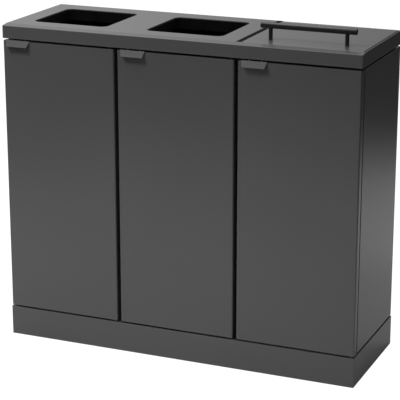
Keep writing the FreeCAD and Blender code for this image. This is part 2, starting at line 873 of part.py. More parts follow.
def make_lid_hinge():
    """A knuckled hinge along the lid's back edge: fixed leaf, moving leaf and pin."""
    left = dim("lid_left")
    count = DIMENSIONS["knuckles"]
    pitch = (dim("lid_right") - left) / dim("knuckles")
    space = dim("knuckle_space")
    radius = dim("knuckle_radius")
    plate = dim("leaf_plate")
    across = Vector(1, 0, 0)
    reach = radius + dim("knuckle_space")
    fixed = [
        block(
            (left, LEAF_FACE, HINGE_Z - reach - dim("leaf_width")),
            (dim("lid_right"), LEAF_FACE + plate, HINGE_Z - reach),
        )
    ]
    under = TOP - PLATE
    leaf_low = (left + PLATE, HINGE_Y - dim("leaf_width"), under - plate)
    moving = [block(leaf_low, (dim("lid_right") - PLATE, LID_BACK, under))]
    for number in range(count):
        start = left + pitch * number + space / 2
        end = left + pitch * (number + 1) - space / 2
        barrel = cylinder((start, HINGE_Y, HINGE_Z), radius, end - start, across)
        if number % 2:
            tongue = block((start, LID_BACK, under - plate), (end, HINGE_Y, under))
            moving += [barrel, tongue]
        else:
            tongue = block((start, LEAF_FACE, HINGE_Z - reach), (end, LEAF_FACE + plate, HINGE_Z))
            fixed += [barrel, tongue]
    length = dim("lid_right") - left
    pin_radius = dim("hinge_pin_radius")
    leaves = {"lid_hinge_fixed_leaf": (fixed, 0), "lid_hinge_moving_leaf": (moving, dim("pin_play"))}
    for label, (parts, play) in leaves.items():
        bore = cylinder((left, HINGE_Y, HINGE_Z), pin_radius + play, length, across)
        group(label, [cut(fuse(parts), bore)])
    group("lid_hinge_pin", [cylinder((left, HINGE_Y, HINGE_Z), pin_radius, length, across)])


# ---------------------------------------------------------------- doors


def make_pivot_bushes():
    """Flanged nylon bushes in the plinth's and the band's flange, one pair for each door."""
    bushes = []
    radius = dim("bush_radius")
    rim = dim("bush_rim")
    bore = dim("pin_radius") + dim("pin_play")
    for number in DOORS:
        x = pivot_x(number)
        low = dim("plinth_top")
        body = cylinder((x, PIVOT_Y, low - PLATE), radius, PLATE)
        flange = cylinder((x, PIVOT_Y, low), dim("bush_flange"), rim)
        hole = cylinder((x, PIVOT_Y, low - PLATE), bore, PLATE + rim)
        bushes.append(cut(fuse([body, flange]), hole))
        high = dim("band_base")
        body = cylinder((x, PIVOT_Y, high), radius, PLATE)
        flange = cylinder((x, PIVOT_Y, high - rim), dim("bush_flange"), rim)
        hole = cylinder((x, PIVOT_Y, high - rim), bore, PLATE + rim)
        bushes.append(cut(fuse([body, flange]), hole))
    group("pivot_bushes", bushes)


def make_door(number):
    """One door: folded pan, liner, pull tab, rivets, pivot pins and catch plate."""
    centre = door_centre(number)
    half = dim("door_width") / 2
    low = dim("body_base")
    high = dim("body_top")
    front = dim("door_set_back")
    pin_x = half - dim("pivot_inset")
    liner = dim("liner_plate")

    skin = new_body(f"door_{number}_skin", centre)
    pad(skin, "XZ_Plane", draw_polygon, front, DOOR_BACK, box((-half, low), (half, high)))
    hollow = box((-half + PLATE, low + PLATE), (half - PLATE, high - PLATE))
    pocket(skin, "XZ_Plane", draw_polygon, front + PLATE, DOOR_BACK, hollow)
    pocket(skin, "XY_Plane", draw_circle, low, high, (pin_x, PIVOT_Y), dim("pin_radius"))
    round_edges(skin, dim("door_bend"), "z", x=[-half, half], y=[front])
    round_edges(skin, dim("door_bend") - PLATE, "z", x=[-half + PLATE, half - PLATE], y=[front + PLATE])

    lining = new_body(f"door_{number}_liner", centre)
    outline = box((-half + PLATE, low + PLATE), (half - PLATE, high - PLATE))
    pad(lining, "XZ_Plane", draw_polygon, DOOR_BACK - liner, DOOR_BACK, outline)

    make_pull_tab(number, centre, half, high, front)
    make_door_rivets(number, centre, half, low, high)

    make_pivot_pins(number, centre, pin_x, low, high)

    plate_left = -half + dim("strike_offset")
    plate_right = plate_left + dim("strike_width")
    plate_low = high - dim("rail_height") + dim("strike_low_gap")
    plate_high = high - dim("strike_high_gap")
    strike = block((plate_left, DOOR_BACK, plate_low), (plate_right, DOOR_BACK + liner, plate_high))
    group(f"door_{number}_catch_plate", [strike], centre)


def make_pivot_pins(number, centre, pin_x, low, high):
    """The door's two pivot pins. A collar on the lower one carries the door on its bush."""
    radius = dim("pin_radius")
    stub = dim("pin_stub")
    bush_top = dim("plinth_top") + dim("bush_rim")
    play = dim("collar_play")
    start = dim("plinth_top") - stub
    pin = cylinder((pin_x, PIVOT_Y, start), radius, low + PLATE + stub - start)
    collar = cylinder((pin_x, PIVOT_Y, bush_top + play), dim("bush_flange"), low - bush_top - play)
    start = high - PLATE - stub
    upper = cylinder((pin_x, PIVOT_Y, start), radius, dim("band_base") + stub - start)
    group(f"door_{number}_pivot_pins", [fuse([pin, collar]), upper], centre)


def make_pull_tab(number, centre, half, high, front):
    """A bent tab: a leg on the door's top edge and a lip that slants out and down."""
    tab = new_body(f"door_{number}_pull_tab", centre)
    left = -half + dim("tab_offset")
    right = left + dim("tab_width")
    reach = dim("tab_reach") + front
    drop = dim("tab_drop")
    lip = dim("tab_lip")
    # The lip's inner face starts at the leg's underside and runs parallel to its outer face.
    outline = [
        (front + dim("tab_leg"), high),
        (front + dim("tab_leg"), high + PLATE),
        (front - dim("tab_bend"), high + PLATE),
        (front - reach, high - drop),
        (front - reach + PLATE, high - drop - lip),
        (front, high),
    ]
    pad(tab, "YZ_Plane", draw_polygon, left, right, outline)
    slant = dim("tab_slant")
    bottom = high - drop - 2 * lip
    for edge, inward in ((left, 1), (right, -1)):
        corner = [(edge, high), (edge + inward * slant, bottom), (edge, bottom)]
        pocket(tab, "XZ_Plane", draw_polygon, front - reach - dim("overcut"), front, corner)


def make_door_rivets(number, centre, half, low, high):
    """Dome-head rivets: two on the pull tab's leg and three down each side of the liner."""
    radius = dim("rivet_radius")
    head = dim("rivet_head")
    rivets = []
    for along in (1, 3):
        x = -half + dim("tab_offset") + dim("tab_width") * along / 4
        rivets.append(cylinder((x, PIVOT_Y - dim("tab_rivet_inset"), high + PLATE), radius, head))
    margin = dim("liner_rivet_margin")
    for x in (-half + margin, half - margin):
        for share in (1, 3, 5):
            z = low + (high - low) * share / 6
            rivets.append(cylinder((x, DOOR_BACK, z), radius, head, Vector(0, 1, 0)))
    group(f"door_{number}_rivets", rivets, centre)


def make_catches():
    """A magnet catch on the rail behind each door's free top corner."""
    catches = []
    high = dim("body_top") - dim("catch_drop")
    low = high - dim("catch_height")
    face = DOOR_BACK + dim("liner_plate") + dim("catch_play")
    for number in DOORS:
        left = door_centre(number) - dim("door_width") / 2 + dim("catch_offset")
        catches.append(block((left, face, low), (left + dim("catch_width"), BODY_FRONT, high)))
    group("magnet_catches", catches)


# ---------------------------------------------------------------- bins


def make_bin(number):
    """One loose bin: a tapered tub with a turned-out rim, and the flat ring that holds a bag."""
    centre = door_centre(number) + dim("bin_offset")
    base = dim("bin_base")
    top = dim("bin_top")
    rim = dim("bin_rim")
    wall = dim("bin_wall")
    taper = dim("bin_taper")
    radius = dim("bin_radius")
    half_width = dim("bin_width") / 2
    front = dim("bin_front")
    back = front + dim("bin_length")

    def plan(inset):
        return (-half_width + inset, front + inset), (half_width - inset, back - inset)

    tub = new_body(f"bin_{number}_tub", centre)
    loft(tub, "AdditiveLoft", (base, *plan(rim + taper), radius - rim), (top, *plan(rim), radius - rim))
    pad(tub, "XY_Plane", draw_rounded_rectangle, top - rim, top, *plan(as_size(0)), radius)
    inner = rim + wall
    loft(
        tub,
        "SubtractiveLoft",
        (base + wall, *plan(inner + taper), radius - inner),
        (top, *plan(inner), radius - inner),
    )

    ring = new_body(f"bin_{number}_bag_ring", centre)
    edge = dim("bag_ring_inset")
    thickness = dim("bag_ring")
    pad(ring, "XY_Plane", draw_rounded_rectangle, top, top + thickness, *plan(edge), radius - edge)
    pocket(ring, "XY_Plane", draw_rounded_rectangle, top, top + thickness, *plan(inner), radius - inner)


def loft(body, kind, low, high):
    """Loft between two rounded rectangles, each given as level, low corner, high corner, radius."""
    doc.recompute()
    sketches = []
    for level, *shape in (low, high):
        sketch = add_sketch(body, "XY_Plane", level)
        draw_rounded_rectangle(sketch, *shape)
        sketches.append(sketch)
    feature = body.newObject(f"PartDesign::{kind}", kind)
    feature.Profile = sketches[0]
    feature.Sections = [sketches[1]]
    doc.recompute()


def make_runners():
    """Two low plastic runners on the floor under each bin."""
    runners = []
    floor_top = dim("body_base") + PLATE
    half_width = dim("runner_width") / 2
    for number in DOORS:
        centre = door_centre(number) + dim("bin_offset")
        for side in (-1, 1):
            middle = centre + side * dim("runner_spacing") / 2
            low = (middle - half_width, BODY_FRONT + dim("runner_inset"), floor_top)
            back = dim("bin_front") + dim("bin_length")
            high = (middle + half_width, back, floor_top + dim("runner_height"))
            runners.append(block(low, high))
    group("bin_runners", runners)


# ---------------------------------------------------------------- whole model


def check_and_export():
    """Stop on any failed object or bad shape, then write one STEP file for each sub-part."""
    doc.recompute()
    for piece in doc.Objects:
        if "Invalid" in piece.State or "Error" in piece.State:
            raise RuntimeError(f"{piece.Name} ({piece.Label}) failed: {piece.State}")
    if len(EXPORTED) > NODE_LIMIT:
        raise RuntimeError(f"{len(EXPORTED)} sub-parts, and the limit is {NODE_LIMIT}")
    os.makedirs("parts", exist_ok=True)
    for piece in EXPORTED:
        shape = piece.Shape
        if shape.isNull() or not shape.isValid() or not shape.Solids:
            raise RuntimeError(f"{piece.Label} has no valid solid")
        shape.exportStep(f"parts/{piece.Label}.step")
        print(f"{piece.Label}: {len(shape.Solids)} solid(s), {shape.Volume / 1000:.1f} cm3")


def main():
    """Build every sub-part, then check and export them."""
    make_plinth()
    make_feet()
    make_carcass()
    make_carcass_fasteners()
    make_band()
    make_deck()
    make_collars()
    make_lid_frame()
    make_lid()
    make_lid_hinge()
    make_pivot_bushes()
    make_catches()
    make_runners()
    for number in DOORS:
        make_door(number)
        make_bin(number)
    check_and_export()


main()
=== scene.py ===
import logging
import math
from dataclasses import dataclass
from enum import Enum
from typing import Iterable, Sequence

import bmesh
import bpy
from mathutils import Matrix, Vector


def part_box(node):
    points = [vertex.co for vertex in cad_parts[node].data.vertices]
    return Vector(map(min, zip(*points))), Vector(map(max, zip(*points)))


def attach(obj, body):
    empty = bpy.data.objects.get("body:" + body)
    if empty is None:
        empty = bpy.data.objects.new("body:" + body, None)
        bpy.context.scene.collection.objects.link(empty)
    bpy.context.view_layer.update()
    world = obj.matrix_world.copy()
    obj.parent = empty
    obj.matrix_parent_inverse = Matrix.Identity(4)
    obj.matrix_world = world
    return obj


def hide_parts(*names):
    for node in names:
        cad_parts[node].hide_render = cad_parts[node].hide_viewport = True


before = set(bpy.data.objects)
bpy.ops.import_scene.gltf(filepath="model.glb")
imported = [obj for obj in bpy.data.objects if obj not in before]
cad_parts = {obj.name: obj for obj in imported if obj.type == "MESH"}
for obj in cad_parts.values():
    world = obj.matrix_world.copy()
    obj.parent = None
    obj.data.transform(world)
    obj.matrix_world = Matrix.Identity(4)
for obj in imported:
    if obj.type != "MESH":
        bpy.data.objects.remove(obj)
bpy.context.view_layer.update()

# Recycling bin station: a folded sheet-steel cabinet with three doors, two open chutes and a lidded one.
# Metres. +Z up, the front faces -Y, the origin is on the floor under the middle of the outline.

Tree, Node, Socket = bpy.types.NodeTree, bpy.types.Node, bpy.types.NodeSocket
Pair = tuple[float, float]
Triple = tuple[float, float, float]

MM = 0.001
CRISP_FOLD = 38.0  # Degrees; a fold over this stays crisp, and a gentler one is shaded smooth.
WELD = 0.001 * MM  # Points of one solid that are closer than this are one point.
EDGE_SAMPLES = 4  # Directions that are tried to find an edge.
EDGE_TURN = (0.995, 0.88)  # How far the eased and the flat directions agree, on the flat and on the edge.
LOG = logging.getLogger("recycling_bin_station")


class Slot(Enum):
    """The record's material slots."""

    POWDER = "powder_coat"
    ZINC = "zinc_steel"
    PLASTIC = "black_plastic"
    NYLON = "nylon"
    RUBBER = "seal_rubber"


class Axis(Enum):
    """The direction in which a fastener's head faces."""

    BACK = (0.0, 1.0, 0.0)
    UP = (0.0, 0.0, 1.0)
    DOWN = (0.0, 0.0, -1.0)


# --- Nodes and finishes ---


def linear_colour(hex_code: str) -> tuple[float, float, float, float]:
    """Turns an sRGB hex colour into linear light.

    Args:
        hex_code: Six hex digits after a hash sign.

    Returns:
        Red, green, blue and an alpha of 1, all linear.
    """
    parts = [int(hex_code[i : i + 2], 16) / 255 for i in (1, 3, 5)]
    lit = [p / 12.92 if p <= 0.04045 else ((p + 0.055) / 1.055) ** 2.4 for p in parts]
    return lit[0], lit[1], lit[2], 1.0


def add_node(tree: Tree, kind: str, sockets: dict | None = None, **settings: object) -> Node:
    """Adds one node with its settings, values and links.

    Args:
        tree: The node tree to add to.
        kind: The node's type name.
        sockets: Input name or number to a value, or to the output socket that feeds it.
        **settings: Attributes of the node itself, set before its sockets.

    Returns:
        The new node.
    """
    node = tree.nodes.new(kind)
    for name, value in settings.items():
        setattr(node, name, value)
    for key, value in (sockets or {}).items():
        if isinstance(value, Socket):
            tree.links.new(value, node.inputs[key])
        else:
            node.inputs[key].default_value = value
    return node


def mix_colours(tree: Tree, share: object, first: object, second: object) -> Socket:
    """Blends two colours.

    Args:
        tree: The node tree to add to.
        share: Share of the second colour, a number or a socket.
        first: A colour or a socket.
        second: A colour or a socket.

    Returns:
        The blended colour's socket.
    """
    return add_node(tree, "ShaderNodeMix", {0: share, 6: first, 7: second}, data_type="RGBA").outputs[2]


def remap(tree: Tree, value: object, source: Pair, target: Pair = (0.0, 1.0), **settings: object) -> Socket:
    """Maps a value from one range onto another, held at its ends.

    Args:
        tree: The node tree to add to.
        value: A number or a socket.
        source: The range that the value comes in.
        target: The range that it is mapped onto.
        **settings: Attributes of the node itself.

    Returns:
        The mapped value's socket.
    """
    ends = (value, *source, *target)
    limits = dict(zip(("Value", "From Min", "From Max", "To Min", "To Max"), ends))
    return add_node(tree, "ShaderNodeMapRange", limits, **settings).outputs["Result"]


def combine(tree: Tree, operation: str, first: object, second: object) -> Socket:
    """Combines two values.

    Args:
        tree: The node tree to add to.
        operation: MULTIPLY or MAXIMUM.
        first: A number or a socket.
        second: A number or a socket.

    Returns:
        The result's socket.
    """
    return add_node(tree, "ShaderNodeMath", {0: first, 1: second}, operation=operation).outputs["Value"]


def noise(tree: Tree, place: Socket, width: float, detail: float) -> Socket:
    """Adds soft noise.

    Args:
        tree: The node tree to add to.
        place: The socket with the place on the piece.
        width: Width of one patch in metres.
        detail: How many finer layers lie on it.

    Returns:
        The noise's socket.
    """
    sockets = {"Vector": place, "Scale": 1 / width, "Detail": detail}
    return add_node(tree, "ShaderNodeTexNoise", sockets).outputs["Fac"]


def cells(tree: Tree, place: Socket, width: float) -> Socket:
    """Adds a pattern of cells, each darkest in its middle.

    Args:
        tree: The node tree to add to.
        place: The socket with the place on the piece.
        width: Width of one cell in metres.

    Returns:
        The socket with the distance from each cell's middle.
    """
    sockets = {"Vector": place, "Scale": 1 / width}
    return add_node(tree, "ShaderNodeTexVoronoi", sockets, feature="F1").outputs["Distance"]


def place_on(tree: Tree) -> Socket:
    """The socket with the place on the piece."""
    return add_node(tree, "ShaderNodeTexCoord").outputs["Object"]


@dataclass(frozen=True)
class Finish:
    """What every finish has: its name, colour and gloss.

    Attributes:
        name: The material's name.
        colour: Main colour, sRGB hex.
        roughness: Middle of the roughness range.
        ior: Index of refraction of the surface.
        metallic: 1 for bare metal, otherwise 0.
        rim: Width of the eased edge in metres.
        gloss_window: The part of the gloss pattern's range that counts.
        gloss_spread: How far the roughness goes from its middle at each end of the window.
    """

    name: str
    colour: str
    roughness: float
    ior: float = 1.5
    metallic: float = 0.0
    rim: float = 0.6 * MM
    gloss_window: Pair = (0.3, 0.7)
    gloss_spread: Pair = (-0.05, 0.08)

    def material(self) -> bpy.types.Material:
        """Makes the material on first use and gives the same one afterwards.

        Returns:
            The finish as a node material.
        """
        found = bpy.data.materials.get(self.name)
        if found:
            return found
        made = bpy.data.materials.new(self.name)
        made.use_nodes = True
        made.diffuse_color = linear_colour(self.colour)
        tree = made.node_tree
        shader = tree.nodes["Principled BSDF"]
        shader.inputs["IOR"].default_value = self.ior
        shader.inputs["Metallic"].default_value = self.metallic
        shader.inputs["Roughness"].default_value = self.roughness
        self.pattern(tree, shader)
        return made

    def pattern(self, tree: Tree, shader: Node) -> None:
        """Adds the finish's own colour, gloss and relief to its shader."""
        raise NotImplementedError

    def feed(self, tree: Tree, shader: Node, skin: Socket, gloss: Socket, normal: Socket) -> None:
        """Links a colour, a gloss and a surface direction to the shader."""
        for name, socket in (("Base Color", skin), ("Roughness", gloss), ("Normal", normal)):
            tree.links.new(socket, shader.inputs[name])

    def uneven(self, tree: Tree, pattern: Socket) -> Socket:
        """Varies the roughness by a pattern, and gives the socket for the shader's Roughness."""
        low, high = self.gloss_spread
        return remap(tree, pattern, self.gloss_window, (self.roughness + low, self.roughness + high))

    def relief(self, tree: Tree, height: Socket, depth: float, edge: object = None) -> Socket:
        """Turns a height pattern into a surface direction.

        Args:
            tree: The node tree to add to.
            height: The pattern, 0 to 1.
            depth: Depth of the pattern in metres.
            edge: Direction of the surface with its edges eased, if the finish has one.

        Returns:
            The socket for the shader's Normal.
        """
        sockets = {"Height": height, "Distance": depth, "Strength": 1.0}
        if edge is not None:
            sockets["Normal"] = edge
        return add_node(tree, "ShaderNodeBump", sockets).outputs["Normal"]

    def eased_edge(self, tree: Tree) -> tuple[Socket, Socket]:
        """Finds where a sheet's edges and folds are.

        Args:
            tree: The node tree to add to.

        Returns:
            The eased direction, and a mask that is 1 on the edge and 0 on the flat.
        """
        bevel = add_node(tree, "ShaderNodeBevel", {"Radius": self.rim}, samples=EDGE_SAMPLES)
        eased = bevel.outputs["Normal"]
        flat = add_node(tree, "ShaderNodeNewGeometry").outputs["Normal"]
        along = add_node(tree, "ShaderNodeVectorMath", {0: eased, 1: flat}, operation="DOT_PRODUCT")
        return eased, remap(tree, along.outputs["Value"], EDGE_TURN)


@dataclass(frozen=True)
class PowderCoat(Finish):
    """Polyester powder coat baked on sheet steel: a satin film with a faint orange peel.

    The film flows out before it sets, so it is even in colour, its sharp edges carry a painted highlight,
    and its skin waves softly where a lamp is mirrored in it.

    Attributes:
        pale: Colour of the film where it is a shade thinner.
        edge: Colour of the painted highlight along the edges.
        drift: Width of a patch of thicker or thinner film in metres.
        peel: Width and depth of one wave of the orange peel in metres.
        grain: Width and depth of one grain of the powder in metres.
        speck_window: The part of the grain's range that shows as pale specks.
        speck_share: How pale the specks are.
        edge_highlight: How far the edges take the colour of their painted highlight.
    """

    pale: str = "#444445"
    edge: str = "#6d6e70"
    drift: float = 320 * MM
    peel: Pair = (14 * MM, 0.02 * MM)
    grain: Pair = (2.6 * MM, 0.007 * MM)
    speck_window: Pair = (0.35, 0.8)
    speck_share: float = 0.2
    gloss_window: Pair = (0.2, 0.8)
    gloss_spread: Pair = (-0.015, 0.015)
    edge_highlight: float = 0.3

    def pattern(self, tree: Tree, shader: Node) -> None:
        """Adds the colour drift, thin edges, orange peel and powder grain."""
        place = place_on(tree)
        drift = noise(tree, place, self.drift, 0.0)
        # The powder's grain is 0.3 mm; it is drawn at 2.6 mm, as coarse as it needs to be to show.
        grain = noise(tree, place, self.grain[0], 2.0)
        waves = noise(tree, place, self.peel[0], 1.0)
        eased, edge = self.eased_edge(tree)
        pale = linear_colour(self.pale)
        film = mix_colours(tree, drift, linear_colour(self.colour), pale)
        film = mix_colours(tree, remap(tree, grain, self.speck_window, (0.0, self.speck_share)), film, pale)
        # Painted highlight: the edges are lightened towards the edge colour.
        film = mix_colours(tree, combine(tree, "MULTIPLY", edge, self.edge_highlight), film, linear_colour(self.edge))
        gloss = self.uneven(tree, grain)
        skin = self.relief(tree, waves, self.peel[1], eased)
        self.feed(tree, shader, film, gloss, self.relief(tree, grain, self.grain[1], skin))


@dataclass(frozen=True)
class ZincPlate(Finish):
    """Zinc plating on pressed or rolled steel, with fine rolling lines, cloudy patches and a painted
    highlight along its edges.

    Attributes:
        dull: Colour of the patches where the passivation has clouded.
        cloud: Width of one patch in metres.
        line: Spacing and depth of the rolling lines in metres.
        stretch: How much the lines are drawn out on each axis.
    """

    dull: str = "#8f9499"
    cloud: float = 18 * MM
    line: Pair = (1.4 * MM, 0.02 * MM)
    stretch: Triple = (0.04, 1.0, 1.0)
    gloss_spread: Pair = (-0.06, 0.08)

    def pattern(self, tree: Tree, shader: Node) -> None:
        """Adds clouding, rolling lines and their gloss."""
        place = place_on(tree)
        cloud = noise(tree, place, self.cloud, 4.0)
        # The rolling lines are 0.1 mm apart; they are drawn at 1.4 mm, as coarse as they need to be to show.
        stretched = add_node(tree, "ShaderNodeMapping", {"Vector": place, "Scale": self.stretch})
        lines = noise(tree, stretched.outputs["Vector"], self.line[0], 3.0)
        eased, edge = self.eased_edge(tree)
        bright = linear_colour(self.colour)
        # Painted highlight: the edges take the bright colour without its clouding.
        plate = mix_colours(tree, edge, mix_colours(tree, cloud, bright, linear_colour(self.dull)), bright)
        gloss = self.uneven(tree, lines)
        self.feed(tree, shader, plate, gloss, self.relief(tree, lines, self.line[1], eased))


@dataclass(frozen=True)
class MouldedPolypropylene(Finish):
    """Black polypropylene, injection moulded against a spark-eroded tool: matt, leathery grain, soft sheen.

    Attributes:
        pale: Colour of the scuffed tops of the grain, and of the painted highlight along the edges.
        grain: Width and depth of one grain of the tool's texture in metres.
        shine: Specular level, which the deep grain can bring under the usual half.
        scuff: Width of one scuffed patch in metres.
        scuff_window: The part of the patches' range that is scuffed.
        scuff_share: How far the scuffs take the pale colour.
    """

    pale: str = "#0d0d0e"
    grain: Pair = (3 * MM, 0.06 * MM)
    shine: float = 0.28
    scuff: float = 45 * MM
    scuff_window: Pair = (0.45, 0.8)
    scuff_share: float = 0.8
    rim: float = 0.8 * MM

    def pattern(self, tree: Tree, shader: Node) -> None:
        """Adds the tool's grain, scuffs and eased edges."""
        shader.inputs["Specular IOR Level"].default_value = self.shine
        place = place_on(tree)
        # The tool's grain is 0.5 mm; it is drawn at 3 mm, as coarse as it needs to be to show.
        grain = cells(tree, place, self.grain[0])
        scuff = noise(tree, place, self.scuff, 5.0)
        eased, edge = self.eased_edge(tree)
        pale = linear_colour(self.pale)
        share = remap(tree, scuff, self.scuff_window, (0.0, self.scuff_share))
        # Painted highlight: the edges take the pale colour.
        skin = mix_colours(tree, edge, mix_colours(tree, share, linear_colour(self.colour), pale), pale)
        gloss = self.uneven(tree, scuff)
        self.feed(tree, shader, skin, gloss, self.relief(tree, grain, self.grain[1], eased))


@dataclass(frozen=True)
class MouldedNylon(Finish):
    """Dark nylon, moulded smooth: a waxy half gloss with flow lines from the gate.

    Attributes:
        flow: Colour along the flow lines, and of the painted highlight along the edges.
        flow_width: Spacing of the flow lines in metres.
        bend: How far the flow lines wander.
        flow_share: How far the lines take their own colour.
        mottle: Width and depth of the mottling in metres.
    """

    flow: str = "#3a3a3c"
    flow_width: float = 60 * MM
    bend: float = 9.0
    flow_share: float = 0.5
    mottle: Pair = (4 * MM, 0.02 * MM)
    rim: float = 0.5 * MM
    gloss_spread: Pair = (-0.05, 0.05)

    def pattern(self, tree: Tree, shader: Node) -> None:
        """Adds the flow lines and the waxy gloss."""
        place = place_on(tree)
        waves = {"Vector": place, "Scale": 1 / self.flow_width, "Distortion": self.bend, "Detail": 3.0}
        lines = add_node(tree, "ShaderNodeTexWave", waves).outputs["Fac"]
        mottle = noise(tree, place, self.mottle[0], 3.0)
        eased, edge = self.eased_edge(tree)
        flow = linear_colour(self.flow)
        share = combine(tree, "MULTIPLY", lines, self.flow_share)
        # Painted highlight: the edges take the flow lines' colour.
        skin = mix_colours(tree, edge, mix_colours(tree, share, linear_colour(self.colour), flow), flow)
        gloss = self.uneven(tree, mottle)
        self.feed(tree, shader, skin, gloss, self.relief(tree, mottle, self.mottle[1], eased))


@dataclass(frozen=True)
class CellularRubber(Finish):
    """Extruded EPDM rubber: dull black, with fine pores and pale bloom in places.

    Attributes:
        bloom: Colour of the pale bloom.
        pore: Width and depth of one pore in metres.
        patch: Width of one patch of bloom in metres.
        bloom_window: The part of the patches' range that has bloom.
        bloom_share: How far the bloom takes its own colour.
        dullest: Roughness at the rims of the pores.
    """

    bloom: str = "#313132"
    pore: Pair = (2 * MM, 0.05 * MM)
    patch: float = 30 * MM
    bloom_window: Pair = (0.45, 0.75)
    bloom_share: float = 0.7
    gloss_window: Pair = (0.0, 0.8)
    dullest: float = 0.95

    def pattern(self, tree: Tree, shader: Node) -> None:
        """Adds the pores and the bloom."""
        place = place_on(tree)
        # The pores are 0.3 mm; they are drawn at 2 mm, as coarse as they need to be to show.
        pores = cells(tree, place, self.pore[0])
        share = remap(tree, noise(tree, place, self.patch, 4.0), self.bloom_window, (0.0, self.bloom_share))
        skin = mix_colours(tree, share, linear_colour(self.colour), linear_colour(self.bloom))
        gloss = remap(tree, pores, self.gloss_window, (self.roughness, self.dullest))
        self.feed(tree, shader, skin, gloss, self.relief(tree, pores, self.pore[1]))


CHARCOAL = PowderCoat("charcoal_powder_coat", "#3f3f40", 0.26)
# A near-black copy of the charcoal coat: painted shade for the door gaps and the handle's undersides.
SHADE_COAT = PowderCoat("painted_shade_powder_coat", "#161617", 0.27, ior=1.6, pale="#19191a", edge="#343536")
ZINC = ZincPlate("bright_zinc_plate", "#c3c7ca", 0.34, metallic=1.0)
# Black zinc on the pivot pins: a real finish, chosen here as painted shade where the pins show through the
# door gaps.
PIN_SHADE_ZINC = ZincPlate("pin_shade_black_zinc", "#2b2c2e", 0.42, metallic=1.0, dull="#1c1d1f")
# The chutes' plastic is black in itself, and darker than the bins' same plastic as painted shade inside the
# chutes.
CHUTE_SHADE_PLASTIC = MouldedPolypropylene("chute_shade_polypropylene", "#050506", 0.6, ior=1.49)
BIN_PLASTIC = MouldedPolypropylene(
    "black_moulded_polypropylene", "#131315", 0.48, ior=1.49, pale="#1d1d1f", shine=0.5
)
NYLON = MouldedNylon("dark_moulded_nylon", "#28282a", 0.4, ior=1.53)
RUBBER = CellularRubber("black_epdm_rubber", "#1b1b1b", 0.75, ior=1.52)

FINISHES: dict[Slot, Finish] = {
    Slot.POWDER: CHARCOAL,
    Slot.ZINC: ZINC,
    Slot.PLASTIC: BIN_PLASTIC,
    Slot.NYLON: NYLON,
    Slot.RUBBER: RUBBER,
}


# --- Meshes ---


@dataclass(frozen=True)
class Box:
    """A box in the station's frame, given by its lowest and highest corners."""

    low: Vector
    high: Vector

    @property
    def middle(self) -> Vector:
        """The box's centre."""
        return (self.low + self.high) / 2

    @property
    def half(self) -> Vector:
        """Half the box's size on each axis."""
        return (self.high - self.low) / 2


def node_box(node: str) -> Box:
    """The box of a CAD node at rest."""
    return Box(*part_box(node))


def solid_boxes(node: str) -> list[Box]:
    """Finds the separate solids of a CAD node.

    Args:
        node: The node's name.

    Returns:
        One box for each solid, ordered by x, then y, then z.
    """
    mesh = bmesh.new()
    mesh.from_mesh(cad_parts[node].data)
    bmesh.ops.remove_doubles(mesh, verts=mesh.verts, dist=WELD)
    left = set(mesh.verts)
    boxes = []
    while left:
        reached = [left.pop()]
        for vertex in reached:
            near = {e.other_vert(vertex) for e in vertex.link_edges} & left
            left -= near
            reached.extend(near)
        low = Vector(min(v.co[i] for v in reached) for i in range(3))
        high = Vector(max(v.co[i] for v in reached) for i in range(3))
        boxes.append(Box(low, high))
    mesh.free()
    return sorted(boxes, key=lambda b: tuple(round(c / MM) for c in b.low))


def rounded_ring(
    middle: Vector, half_x: float, half_y: float, radius: float, z: float, steps: int = 7
) -> list[Vector]:
    """Points round a rectangle with round corners, at one height.

    Args:
        middle: Centre of the rectangle.
        half_x: Half its width.
        half_y: Half its depth.
        radius: Radius of the corners.
        z: Height of the ring.
        steps: Points on each corner after the first.

    Returns:
        The points, anticlockwise from above.
    """
    points = []
    for turn, (sx, sy) in enumerate(((1, 1), (-1, 1), (-1, -1), (1, -1))):
        for step in range(steps + 1):
            angle = (turn + step / steps) * math.pi / 2
            x = middle.x + sx * (half_x - radius) + radius * math.cos(angle)
            y = middle.y + sy * (half_y - radius) + radius * math.sin(angle)
            points.append(Vector((x, y, z)))
    return points


def held_runs(
    profile: Sequence[Pair], hold: float = 2 * MM, longest: float = 16 * MM
) -> list[Pair]:
    """Adds a point just inside each end of a profile's long runs, so that they are shaded flat.

    Args:
        profile: Points with a sideways offset and a height.
        hold: How far inside the ends the new points lie.
        longest: Runs up to this length are left alone.

    Returns:
        The profile with the points added.
    """
    held = [profile[0]]
    for (out, z), (next_out, next_z) in zip(profile, profile[1:]):
        length = math.hypot(next_out - out, next_z - z)
        if length > longest:
            for share in (hold / length, 1 - hold / length):
                held.append((out + (next_out - out) * share, z + (next_z - z) * share))
        held.append((next_out, next_z))
    return held


def polar_ring(radius: float, height: float, corners: int = 0, steps: int = 36) -> list[Vector]:
    """Points round the local z axis, on a circle or a polygon.

    Args:
        radius: Radius of the circle, or from the middle to a flat of the polygon.
        height: Height of the ring.
        corners: Corners of the polygon, or 0 for a circle.
        steps: Points on the ring.

    Returns:
        The points, anticlockwise from above.
    """
    points = []
    for step in range(steps):
        angle = 2 * math.pi * step / steps
        reach = radius
        if corners:
            part = 2 * math.pi / corners
            reach = radius / math.cos((angle + part / 2) % part - part / 2)
        points.append(Vector((reach * math.cos(angle), reach * math.sin(angle), height)))
    return points


def facing(point: Vector, direction: Sequence[float]) -> Matrix:
    """A place whose local z axis points along a direction.

    Args:
        point: The local origin.
        direction: Where local +z points.

    Returns:
        The placement matrix.
    """
    turn = Vector(direction).to_track_quat("Z", "Y").to_matrix().to_4x4()
    return Matrix.Translation(point) @ turn


